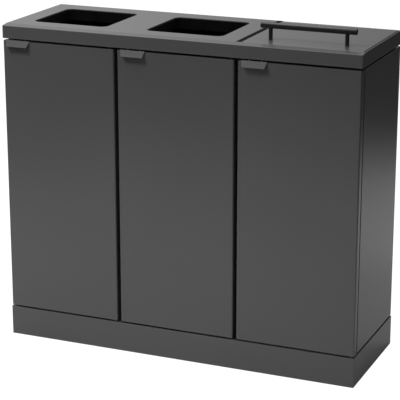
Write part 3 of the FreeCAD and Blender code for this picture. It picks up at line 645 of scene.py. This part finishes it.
class MeshDraft:
    """A mesh in the making: lofted rings, swept sections and eased blocks gathered into one piece."""

    def __init__(self) -> None:
        """Starts with nothing."""
        self.mesh = bmesh.new()

    def loft(self, rings: Sequence[Sequence[Vector]], place: Matrix | None = None, looped: bool = False,
             capped: bool = True) -> "MeshDraft":
        """Joins rings with equal numbers of points by a skin.

        Args:
            rings: The rings, in order.
            place: Where the rings' own axes lie, or None for the station's frame.
            looped: Whether the last ring joins the first.
            capped: Whether the first and last rings are closed by a face.

        Returns:
            This draft.
        """
        matrix = place or Matrix.Identity(4)
        rows = [[self.mesh.verts.new(matrix @ point) for point in ring] for ring in rings]
        pairs = list(zip(rows, rows[1:])) + ([(rows[-1], rows[0])] if looped else [])
        for low, high in pairs:
            for here in range(len(low)):
                there = (here + 1) % len(low)
                self.mesh.faces.new((low[here], low[there], high[there], high[here]))
        if capped and not looped:
            self.mesh.faces.new(list(reversed(rows[0])))
            self.mesh.faces.new(rows[-1])
        return self

    def turn(self, profile: Sequence[Pair], place: Matrix, steps: int = 36) -> "MeshDraft":
        """Turns a profile about the local z axis.

        Args:
            profile: Radius and height of each ring, from one end to the other.
            place: Where the local axes lie.
            steps: Points on each ring.

        Returns:
            This draft.
        """
        return self.loft([polar_ring(r, h, steps=steps) for r, h in profile], place)

    def sweep(self, path: Sequence[Vector], section: Sequence[Pair]) -> "MeshDraft":
        """Carries a section along a level path, mitred at its corners.

        Args:
            path: The path's points, all at one height.
            section: Sideways offset to the path's left and height above it, of each point of the section.

        Returns:
            This draft.
        """
        rings = []
        for here, point in enumerate(path):
            before = (point - path[max(here - 1, 0)]).normalized() if here else None
            after = (path[here + 1] - point).normalized() if here + 1 < len(path) else before
            before = before or after
            left = Vector((-before.y - after.y, before.x + after.x, 0)).normalized()
            reach = 1 / max(left.dot(Vector((-after.y, after.x, 0))), 0.2)
            rings.append([point + left * (side * reach) + Vector((0, 0, up)) for side, up in section])
        return self.loft(rings)

    def block(self, box: Box, ease: float, steps: int = 3) -> "MeshDraft":
        """Adds a block with rounded edges.

        Args:
            box: The block's limits.
            ease: Radius of its edges.
            steps: Faces across each rounded edge.

        Returns:
            This draft.
        """
        made = bmesh.ops.create_cube(self.mesh, size=1.0)["verts"]
        size = box.high - box.low
        for vertex in made:
            vertex.co = box.middle + Vector(vertex.co[i] * size[i] for i in range(3))
        edges = list({e for v in made for e in v.link_edges})
        bmesh.ops.bevel(self.mesh, geom=edges, offset=ease, segments=steps, profile=0.5, affect="EDGES",
                        clamp_overlap=True)
        return self

    def piece(self, name: str, body: str, slot: Slot, replaces: Iterable[str] = (),
              finish: Finish | None = None) -> bpy.types.Object:
        """Turns the draft into a dressed piece of the station.

        Args:
            name: The piece's name.
            body: The CAD body that it moves with.
            slot: The material slot that it takes its finish from.
            replaces: The CAD nodes that it stands for.
            finish: A finish other than the slot's usual one.

        Returns:
            The piece.
        """
        bmesh.ops.recalc_face_normals(self.mesh, faces=self.mesh.faces)
        data = bpy.data.meshes.new(name)
        self.mesh.to_mesh(data)
        self.mesh.free()
        data.shade_smooth()
        data.set_sharp_from_angle(angle=math.radians(CRISP_FOLD))
        made = bpy.data.objects.new(name, data)
        bpy.context.scene.collection.objects.link(made)
        data.materials.append((finish or FINISHES[slot]).material())
        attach(made, body)
        for node in replaces:
            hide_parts(node)
        LOG.info("%s: %d faces, on %s", name, len(data.polygons), body)
        return made


def dress(node: str, finish: Finish) -> None:
    """Puts a finish on a CAD node in place of its plain one."""
    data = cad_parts[node].data
    if not data.materials:
        data.materials.append(finish.material())
    for number in range(len(data.materials)):
        data.materials[number] = finish.material()
    LOG.info("%s: dressed in %s", node, finish.name)


# --- Fasteners ---


@dataclass(frozen=True)
class DomeRivet:
    """A blind rivet: a low domed head with the dimple that its broken stem leaves."""

    radius: float = 3.2 * MM
    height: float = 1.2 * MM
    dimple: float = 0.9 * MM

    def add(self, draft: MeshDraft, foot: Vector, direction: Sequence[float]) -> None:
        """Adds one head to a draft, standing on foot and facing along direction."""
        r, h, d = self.radius, self.height, self.dimple
        profile = [(r, 0.0), (r, 0.18 * h), (0.92 * r, 0.5 * h), (0.74 * r, 0.8 * h), (0.52 * r, 0.96 * h),
                   (d * 1.25, h), (d, 0.86 * h), (0.8 * d, 0.5 * h)]
        draft.turn(profile, facing(foot, direction), steps=24)


@dataclass(frozen=True)
class SocketScrew:
    """A button-head screw with a hexagon socket."""

    radius: float = 4.5 * MM
    height: float = 1.9 * MM
    socket: float = 1.6 * MM

    def add(self, draft: MeshDraft, foot: Vector, direction: Sequence[float]) -> None:
        """Adds one head to a draft, standing on foot and facing along direction."""
        r, h, s = self.radius, self.height, self.socket
        dome = [(r, 0.0), (r, 0.2 * h), (0.93 * r, 0.52 * h), (0.76 * r, 0.82 * h), (0.56 * r, 0.97 * h)]
        rings = [polar_ring(radius, height) for radius, height in dome]
        rings += [polar_ring(s * 1.12, h), polar_ring(s, 0.96 * h, 6), polar_ring(s, 0.25 * h, 6)]
        draft.loft(rings, facing(foot, direction))


@dataclass(frozen=True)
class LevellingFoot:
    """A levelling foot: a moulded pad, a threaded stud and its lock nut."""

    pad_height: float = 6 * MM
    stud_radius: float = 4.6 * MM
    pitch: float = 1.5 * MM
    thread: float = 0.6 * MM
    nut: float = 8 * MM
    nut_height: float = 6 * MM
    nut_chamfer: float = 0.6 * MM
    nut_drop: float = 14 * MM
    socket_share: float = 1.2

    def add(self, pads: MeshDraft, studs: MeshDraft, box: Box) -> None:
        """Adds one foot.

        Args:
            pads: The draft for the pad.
            studs: The draft for the stud and nut.
            box: The foot's limits.
        """
        base = Matrix.Translation(Vector((box.middle.x, box.middle.y, box.low.z)))
        r, h = box.half.x, self.pad_height
        pads.turn([(0.86 * r, 0.0), (0.97 * r, 0.3 * MM), (r, 1.2 * MM), (r, 0.6 * h), (0.95 * r, 0.78 * h),
                   (0.5 * r, 0.95 * h), (0.42 * r, h), (0.4 * r, 1.35 * h), (0.34 * r, 1.5 * h)], base)
        top = box.high.z - box.low.z
        start = self.socket_share * h
        turns = int((top - start) / self.pitch)
        profile = [(self.stud_radius - self.thread, start)]
        for number in range(turns):
            low = start + number * self.pitch
            profile += [(self.stud_radius, low + share * self.pitch) for share in (0.4, 0.6)]
            profile.append((self.stud_radius - self.thread, low + self.pitch))
        profile.append((self.stud_radius - 2 * self.thread, top))
        studs.turn(profile, base, steps=24)
        low = top - self.nut_drop
        high = low + self.nut_height
        nut = [polar_ring(self.nut * 0.93, low), polar_ring(self.nut, low + self.nut_chamfer, 6),
               polar_ring(self.nut, high - self.nut_chamfer, 6), polar_ring(self.nut * 0.93, high)]
        studs.loft(nut, base)


# --- Sub-assemblies ---


@dataclass(frozen=True)
class Plinth:
    """The folded steel plinth with its corner brackets and levelling feet."""

    foot: LevellingFoot = LevellingFoot()

    def build(self) -> None:
        """Dresses the plinth and builds its feet."""
        for side in ("front", "back", "left", "right"):
            dress(f"plinth_{side}", CHARCOAL)
        dress("plinth_brackets", ZINC)
        pads, studs = MeshDraft(), MeshDraft()
        for box in solid_boxes("leveling_feet"):
            self.foot.add(pads, studs, box)
        pads.piece("foot_pads", "root", Slot.NYLON)
        studs.piece("foot_studs", "root", Slot.ZINC, ["leveling_feet"])


@dataclass(frozen=True)
class Carcass:
    """The cabinet body: its sides, back, floor, partitions, front rail and their fasteners."""

    runner_ease: float = 1.6 * MM

    def build(self) -> None:
        """Dresses the panels and builds the fasteners and runners."""
        for panel in ("side_panel_left", "side_panel_right", "back_panel"):
            dress(panel, CHARCOAL)
        # Painted shade: the parts seen through the door gaps take the near-black coat, standing in for the
        # shade in the gaps.
        for panel in ("floor_panel", "partition_left", "partition_right", "front_rail"):
            dress(panel, SHADE_COAT)
        self.back_screws()
        self.runners()

    def back_screws(self) -> None:
        """Builds the screws that hold the back panel."""
        draft = MeshDraft()
        for box in solid_boxes("back_screws"):
            foot = Vector((box.middle.x, box.low.y, box.middle.z))
            SocketScrew(height=box.high.y - box.low.y).add(draft, foot, Axis.BACK.value)
        draft.piece("back_panel_screws", "root", Slot.ZINC, ["back_screws"])

    def runners(self) -> None:
        """Builds the nylon strips that the bins slide on."""
        draft = MeshDraft()
        for box in solid_boxes("bin_runners"):
            draft.block(box, self.runner_ease)
        draft.piece("bin_runner_strips", "root", Slot.NYLON, ["bin_runners"])


@dataclass(frozen=True)
class Top:
    """The band round the top, the deck with its two open chutes, and the ledge round the lid."""

    opening_half: Pair = (124 * MM, 120 * MM)
    opening_radius: float = 22 * MM
    wall: float = 3 * MM
    flange: float = 3 * MM

    def build(self) -> None:
        """Dresses the folded sheets and builds the moulded collars."""
        for sheet in ("band_front", "band_back", "band_left", "band_right", "deck_plate", "lid_frame"):
            dress(sheet, CHARCOAL)
        for side in ("left", "right"):
            self.collar(side)

    def collar(self, side: str) -> None:
        """Builds the moulded collar that lines one chute.

        Args:
            side: Which chute, left or right.
        """
        box = node_box(f"chute_collar_{side}")
        spread = box.half.x - self.opening_half[0]
        low, high = box.low.z, box.high.z
        profile = [
            (spread, high - self.flange), (spread, high - 0.4 * MM), (spread - 0.4 * MM, high),
            (-0.8 * self.wall, high), (-0.95 * self.wall, high - 0.3 * MM), (-self.wall, high - 1 * MM),
            (-self.wall * 0.9, low + 3 * MM), (-self.wall * 0.8, low + 0.8 * MM), (-self.wall * 0.45, low),
            (-0.35 * MM, low + 0.8 * MM), (-0.1 * MM, low + 3 * MM),
            (-0.05 * MM, high - self.flange - 2.5 * MM), (0.6 * MM, high - self.flange - 0.7 * MM),
            (2.4 * MM, high - self.flange),
        ]
        rings = [
            rounded_ring(box.middle, self.opening_half[0] + out, self.opening_half[1] + out,
                         self.opening_radius + out, z)
            for out, z in held_runs(profile)
        ]
        # Painted shade: the collar takes the darkened chute plastic.
        MeshDraft().loft(rings, looped=True).piece(
            f"chute_collar_{side}_moulding", "root", Slot.PLASTIC, [f"chute_collar_{side}"], CHUTE_SHADE_PLASTIC)


@dataclass(frozen=True)
class Lid:
    """The hinged lid with its bar handle, seal and knuckled hinge."""

    ease: float = 1.1 * MM
    post_foot: float = 0.7 * MM
    post_sunk: float = 1 * MM
    seal_half: float = 4.5 * MM
    screw: SocketScrew = SocketScrew(radius=5 * MM, height=2.4 * MM, socket=2 * MM)

    def build(self) -> None:
        """Dresses the lid and builds its handle, screws and seal."""
        for sheet in ("lid_panel", "lid_stiffener"):
            dress(sheet, CHARCOAL)
        for part in ("lid_hinge_fixed_leaf", "lid_hinge_moving_leaf", "lid_hinge_pin"):
            dress(part, ZINC)
        self.handle()
        self.screws()
        self.seal()

    def handle(self) -> None:
        """Builds the round bar and its two posts."""
        # Painted shade: the bar and posts take the near-black coat for the shade on their undersides.
        box = node_box("handle_bar")
        r, length, e = box.half.z, box.high.x - box.low.x, self.ease
        profile = [(0.35 * r, 0.0), (r - e, 0.0), (r - 0.3 * e, 0.3 * e), (r, e), (r, length - e),
                   (r - 0.3 * e, length - 0.3 * e), (r - e, length), (0.35 * r, length)]
        start = Vector((box.low.x, box.middle.y, box.middle.z))
        MeshDraft().turn(profile, facing(start, (1, 0, 0)), steps=56).piece(
            "handle_bar_turned", "lid", Slot.POWDER, ["handle_bar"], SHADE_COAT)
        posts = MeshDraft()
        for post in solid_boxes("handle_posts"):
            height = post.high.z - post.low.z + self.post_sunk
            foot = Vector((post.middle.x, post.middle.y, post.low.z))
            r = post.half.x
            profile = [(r + self.post_foot, 0.0), (r + 0.6 * self.post_foot, 0.35 * MM), (r, 1.1 * MM),
                       (r, height)]
            posts.turn(profile, Matrix.Translation(foot), steps=40)
        posts.piece("handle_posts_turned", "lid", Slot.POWDER, ["handle_posts"], SHADE_COAT)

    def screws(self) -> None:
        """Builds the two screws under the lid that hold the handle's posts."""
        draft = MeshDraft()
        for box in solid_boxes("handle_screws"):
            foot = Vector((box.middle.x, box.middle.y, box.low.z + self.screw.height))
            self.screw.add(draft, foot, Axis.DOWN.value)
        draft.piece("handle_screw_heads", "lid", Slot.ZINC, ["handle_screws"])

    def seal(self) -> None:
        """Builds the rubber strip that the lid closes on, round three sides."""
        box = node_box("lid_seal")
        half, top = self.seal_half, box.high.z - box.low.z
        low, high = box.low + Vector((half, half, 0)), box.high - Vector((half, 0, 0))
        z = box.low.z
        path = [Vector((low.x, high.y, z)), Vector((low.x, low.y, z)), Vector((high.x, low.y, z)),
                Vector((high.x, high.y, z))]
        section = [(-half, 0.0), (half, 0.0), (half, 0.3 * top), (0.6 * half, 0.8 * top), (0.2 * half, top),
                   (-0.2 * half, top), (-0.6 * half, 0.8 * top), (-half, 0.3 * top)]
        MeshDraft().sweep(path, section).piece("lid_seal_strip", "root", Slot.RUBBER, ["lid_seal"])


@dataclass(frozen=True)
class Door:
    """One folded door with its liner, pull tab, rivets, pivot pins and catch plate."""

    number: int
    rivet: DomeRivet = DomeRivet()

    def build(self) -> None:
        """Dresses the sheets and pins, and builds the rivet heads."""
        name = f"door_{self.number}"
        for sheet in ("skin", "liner", "pull_tab"):
            dress(f"{name}_{sheet}", CHARCOAL)
        # Painted shade: the pivot pins take the dark zinc where they show in the door gaps.
        dress(f"{name}_pivot_pins", PIN_SHADE_ZINC)
        dress(f"{name}_catch_plate", ZINC)
        draft = MeshDraft()
        for box in solid_boxes(f"{name}_rivets"):
            if box.half.z < box.half.y:
                foot, way = Vector((box.middle.x, box.middle.y, box.low.z)), Axis.UP.value
            else:
                foot, way = Vector((box.middle.x, box.low.y, box.middle.z)), Axis.BACK.value
            self.rivet.add(draft, foot, way)
        draft.piece(f"{name}_rivet_heads", name, Slot.ZINC, [f"{name}_rivets"])


@dataclass(frozen=True)
class MagnetCatches:
    """The magnetic catches behind the doors' top edges: a nylon housing with two steel poles each."""

    pole: float = 3 * MM
    pole_gap: float = 4.4 * MM
    pole_inset: float = 5 * MM
    pole_ease: float = 0.3 * MM
    set_back: float = 0.6 * MM
    ease: float = 0.9 * MM

    def build(self) -> None:
        """Builds the housings and the poles."""
        housings, poles = MeshDraft(), MeshDraft()
        for box in solid_boxes("magnet_catches"):
            face = box.low.y + self.set_back
            housings.block(Box(Vector((box.low.x, face, box.low.z)), box.high), self.ease)
            for side in (-1, 1):
                z = box.middle.z + side * self.pole_gap / 2
                low = Vector((box.low.x + self.pole_inset, box.low.y, z - self.pole / 2))
                high = Vector((box.high.x - self.pole_inset, box.middle.y, z + self.pole / 2))
                poles.block(Box(low, high), self.pole_ease, 2)
        housings.piece("catch_housings", "root", Slot.NYLON)
        poles.piece("catch_poles", "root", Slot.ZINC, ["magnet_catches"])
        dress("pivot_bushes", NYLON)


@dataclass(frozen=True)
class Bin:
    """One loose moulded bin: a tapered tub with swaged bands and a rolled rim, and its bag's ring."""

    number: int
    rim: float = 10 * MM
    taper: float = 16 * MM
    wall: float = 3 * MM
    radius: float = 34 * MM
    band: float = 1.8 * MM
    band_shares: Pair = (0.3, 0.62)
    band_half: float = 9 * MM
    band_slope: float = 4 * MM
    neck: float = 2.2 * MM
    neck_height: float = 60 * MM
    ring_width: float = 13 * MM

    def build(self) -> None:
        """Builds the tub and its bag ring."""
        self.tub()
        self.bag_ring()

    def tub(self) -> None:
        """Builds the tub as one closed shell, outside then inside."""
        name = f"bin_{self.number}"
        box = node_box(f"{name}_tub")
        height = box.high.z - box.low.z
        rim, wall = self.rim, self.wall
        outside = [(-7 * MM, 0.0), (-3 * MM, 0.5 * MM), (-0.8 * MM, 3 * MM), (0.0, 8 * MM)]
        for share in self.band_shares:
            middle = share * height
            slope = self.band_half + self.band_slope
            outside += [(0.0, middle - slope), (self.band, middle - self.band_half),
                        (self.band, middle + self.band_half), (0.0, middle + slope)]
        start = height - self.neck_height
        outside += [(0.0, start), (self.neck, start + self.band_slope), (self.neck, height - 5 * MM),
                    (3 * MM, height - 3.4 * MM), (rim - 2 * MM, height - 3.4 * MM)]
        outside += [(rim - 1.8 * MM, height - 14 * MM), (rim - 0.9 * MM, height - 14.6 * MM),
                    (rim, height - 14 * MM)]
        top = [(rim, height - 2.2 * MM), (rim - 0.7 * MM, height - 0.6 * MM), (rim - 2.2 * MM, height),
               (1.2 * MM - wall, height), (-wall + 0.3 * MM, height - 0.7 * MM), (-wall, height - 2.2 * MM)]
        inside = [(-wall, height - 58 * MM), (-wall, 12 * MM), (-wall - 1.4 * MM, 6 * MM),
                  (-wall - 5 * MM, 3 * MM)]
        rings = []
        for out, z in held_runs(outside + top + inside):
            narrow = rim + self.taper * (1 - z / height)
            rings.append(rounded_ring(box.middle, box.half.x - narrow + out, box.half.y - narrow + out,
                                      max(self.radius + out - rim * 0.5, 4 * MM), box.low.z + z))
        MeshDraft().loft(rings).piece(f"{name}_moulded_tub", name, Slot.PLASTIC, [f"{name}_tub"])

    def bag_ring(self) -> None:
        """Builds the ring that clamps the bag on the rim."""
        name = f"bin_{self.number}"
        box = node_box(f"{name}_bag_ring")
        high = box.high.z - box.low.z
        width = self.ring_width
        section = [(0.0, 0.0), (0.0, 0.5 * high), (-1 * MM, 0.85 * high), (-3 * MM, high),
                   (3 * MM - width, high), (1 * MM - width, 0.85 * high), (-width, 0.5 * high), (-width, 0.0)]
        half, z = box.half, box.low.z
        rings = [rounded_ring(box.middle, half.x + out, half.y + out, self.radius + out, z + up)
                 for out, up in section]
        ring = MeshDraft().loft(rings, looped=True)
        ring.piece(f"{name}_clamp_ring", name, Slot.PLASTIC, [f"{name}_bag_ring"])


# --- Studio ---


@dataclass(frozen=True)
class Softbox:
    """A rectangular soft lamp that hangs at a place and faces a target."""

    name: str
    place: Triple
    target: Triple
    power: float
    width: float
    height: float
    spread: float = 180.0
    mirrored: bool = True

    def build(self) -> None:
        """Hangs the lamp."""
        data = bpy.data.lights.new(self.name, "AREA")
        data.shape, data.size, data.size_y, data.energy = "RECTANGLE", self.width, self.height, self.power
        data.spread = math.radians(self.spread)
        lamp = bpy.data.objects.new(self.name, data)
        lamp.location = self.place
        lamp.rotation_mode = "QUATERNION"
        lamp.rotation_quaternion = (Vector(self.target) - Vector(self.place)).to_track_quat("-Z", "Y")
        lamp.visible_glossy = self.mirrored
        bpy.context.scene.collection.objects.link(lamp)


@dataclass(frozen=True)
class Studio:
    """A plain pale floor under soft light, brightest near the station and from behind on its left.

    Attributes:
        reach: Half the floor's width in metres.
        pool: Where the pool of light on the floor starts to fade and where it ends, in metres.
        pool_light: The floor's lightness inside and outside the pool.
        paint: The floor's colour, sRGB hex.
        roughness: The floor's roughness.
        shine: The floor's specular level.
        glow: Strength of the glow that keeps the floor white to look at.
        glow_share: How much of what is seen of the floor is glow.
        sky: Strength of the dim and the bright parts of the sky.
        panel_across: Where the bright part behind ends sideways, as a direction's x.
        panel_side: Its strength on the left and on the right.
        panel_behind: Where it starts towards the back, as a direction's y.
        panel_above: Where it reaches full strength upwards, as a direction's z.
        panel_low: Its strength at the horizon and above it.
        overhead: Where the bright part overhead starts and is full, as a direction's z.
    """

    reach: float = 30.0
    pool: Pair = (1.9, 3.3)
    pool_light: Pair = (0.58, 0.06)
    paint: str = "#f2f2f2"
    roughness: float = 0.9
    shine: float = 0.1
    glow: float = 1.12
    glow_share: float = 0.88
    sky: Pair = (0.07, 0.77)
    panel_across: Pair = (-0.44, -0.2)
    panel_side: Pair = (1.0, 0.15)
    panel_behind: Pair = (0.1, 0.6)
    panel_above: Pair = (0.0, 0.24)
    panel_low: Pair = (0.3, 1.0)
    overhead: Pair = (0.35, 0.95)

    def build(self) -> None:
        """Builds the floor, the sky and the lamps."""
        self.lay_floor()
        self.fill_room()
        self.hang_lamps()

    def lay_floor(self) -> None:
        """Lays the pale floor: white to look at, and a pool of light in what the station mirrors."""
        mesh = bmesh.new()
        bmesh.ops.create_grid(mesh, x_segments=8, y_segments=8, size=self.reach)
        data = bpy.data.meshes.new("studio_floor")
        mesh.to_mesh(data)
        mesh.free()
        floor = bpy.data.objects.new("studio_floor", data)
        floor.location = (0, 0, -0.2 * MM)
        bpy.context.scene.collection.objects.link(floor)
        made = bpy.data.materials.new("painted_studio_floor")
        made.use_nodes = True
        tree = made.node_tree
        shader = tree.nodes["Principled BSDF"]
        shader.inputs["Roughness"].default_value = self.roughness
        shader.inputs["Specular IOR Level"].default_value = self.shine
        reach = add_node(tree, "ShaderNodeVectorMath", {0: place_on(tree)}, operation="LENGTH")
        distance = reach.outputs["Value"]
        pool = remap(tree, distance, self.pool, self.pool_light, interpolation_type="SMOOTHSTEP")
        seen = add_node(tree, "ShaderNodeLightPath").outputs["Is Camera Ray"]
        paint = mix_colours(tree, pool, linear_colour("#000000"), linear_colour(self.paint))
        paint = mix_colours(tree, seen, paint, linear_colour(self.paint))
        tree.links.new(paint, shader.inputs["Base Color"])
        white = linear_colour("#ffffff")
        glow = add_node(tree, "ShaderNodeEmission", {"Color": white, "Strength": self.glow}).outputs[0]
        share = combine(tree, "MULTIPLY", seen, self.glow_share)
        both = add_node(tree, "ShaderNodeMixShader", {0: share, 1: shader.outputs["BSDF"], 2: glow})
        tree.links.new(both.outputs[0], tree.nodes["Material Output"].inputs["Surface"])
        data.materials.append(made)

    def fill_room(self) -> None:
        """Fills the room with soft light: bright overhead and behind on the left, dim elsewhere."""
        world = bpy.data.worlds.new("soft_room")
        bpy.context.scene.world = world
        world.use_nodes = True
        tree = world.node_tree
        way = add_node(tree, "ShaderNodeTexCoord").outputs["Generated"]
        parts = add_node(tree, "ShaderNodeSeparateXYZ", {"Vector": way}).outputs
        across = remap(tree, parts["X"], self.panel_across, self.panel_side)
        behind = remap(tree, parts["Y"], self.panel_behind)
        above = remap(tree, parts["Z"], self.panel_above, self.panel_low)
        panel = combine(tree, "MULTIPLY", combine(tree, "MULTIPLY", across, behind), above)
        most = combine(tree, "MAXIMUM", panel, remap(tree, parts["Z"], self.overhead))
        light = remap(tree, most, (0.0, 1.0), self.sky)
        seen = add_node(tree, "ShaderNodeLightPath").outputs["Is Camera Ray"]
        back = tree.nodes["Background"]
        tree.links.new(combine(tree, "MAXIMUM", light, seen), back.inputs["Strength"])
        back.inputs["Color"].default_value = linear_colour("#ffffff")

    def hang_lamps(self) -> None:
        """Hangs a broad soft lamp over the station, two in front of it and one behind it."""
        for softbox in (
            Softbox("overhead_softbox", (-0.3, 0.2, 3.0), (0.0, 0.0, 0.0), 30.0, 2.6, 2.0),
            Softbox("high_front_softbox", (-1.1, -1.4, 3.1), (0.0, 0.0, 0.4), 76.0, 0.7, 0.6, mirrored=False),
            Softbox("low_front_softbox", (-0.7, -2.4, 0.2), (-0.3, 0.0, 0.1), 4.2, 2.4, 0.4, 60.0, False),
            Softbox("back_softbox", (0.0, 2.6, 1.6), (0.0, 0.0, 0.5), 26.0, 1.8, 0.9, mirrored=False),
        ):
            softbox.build()


@dataclass(frozen=True)
class Viewpoint:
    """Where the station is looked at from: its front and right side, from above."""

    place: Triple = (1.8565, -4.3882, 1.9062)
    azimuth: float = 22.91
    pitch: float = 16.89
    lens: float = 144.8
    sensor: float = 36.0

    def build(self) -> None:
        """Sets up the camera."""
        data = bpy.data.cameras.new("viewpoint")
        data.lens, data.sensor_width = self.lens, self.sensor
        camera = bpy.data.objects.new("viewpoint", data)
        a, t = math.radians(self.azimuth), math.radians(self.pitch)
        way = Vector((-math.sin(a) * math.cos(t), math.cos(a) * math.cos(t), -math.sin(t)))
        camera.location = self.place
        camera.rotation_mode = "QUATERNION"
        camera.rotation_quaternion = way.to_track_quat("-Z", "Y")
        bpy.context.scene.collection.objects.link(camera)
        bpy.context.scene.camera = camera


def main() -> None:
    """Builds the studio and every sub-assembly in order."""
    logging.basicConfig(level=logging.INFO, format="%(name)s: %(message)s")
    bpy.context.scene.view_settings.view_transform = "Standard"
    parts = [Viewpoint(), Studio(), Plinth(), Carcass(), Top(), Lid(), MagnetCatches()]
    parts += [Door(number) for number in (1, 2, 3)] + [Bin(number) for number in (1, 2, 3)]
    for part in parts:
        LOG.info("building %s", type(part).__name__)
        part.build()
    bpy.context.view_layer.update()


if __name__ == "__main__":
    main()
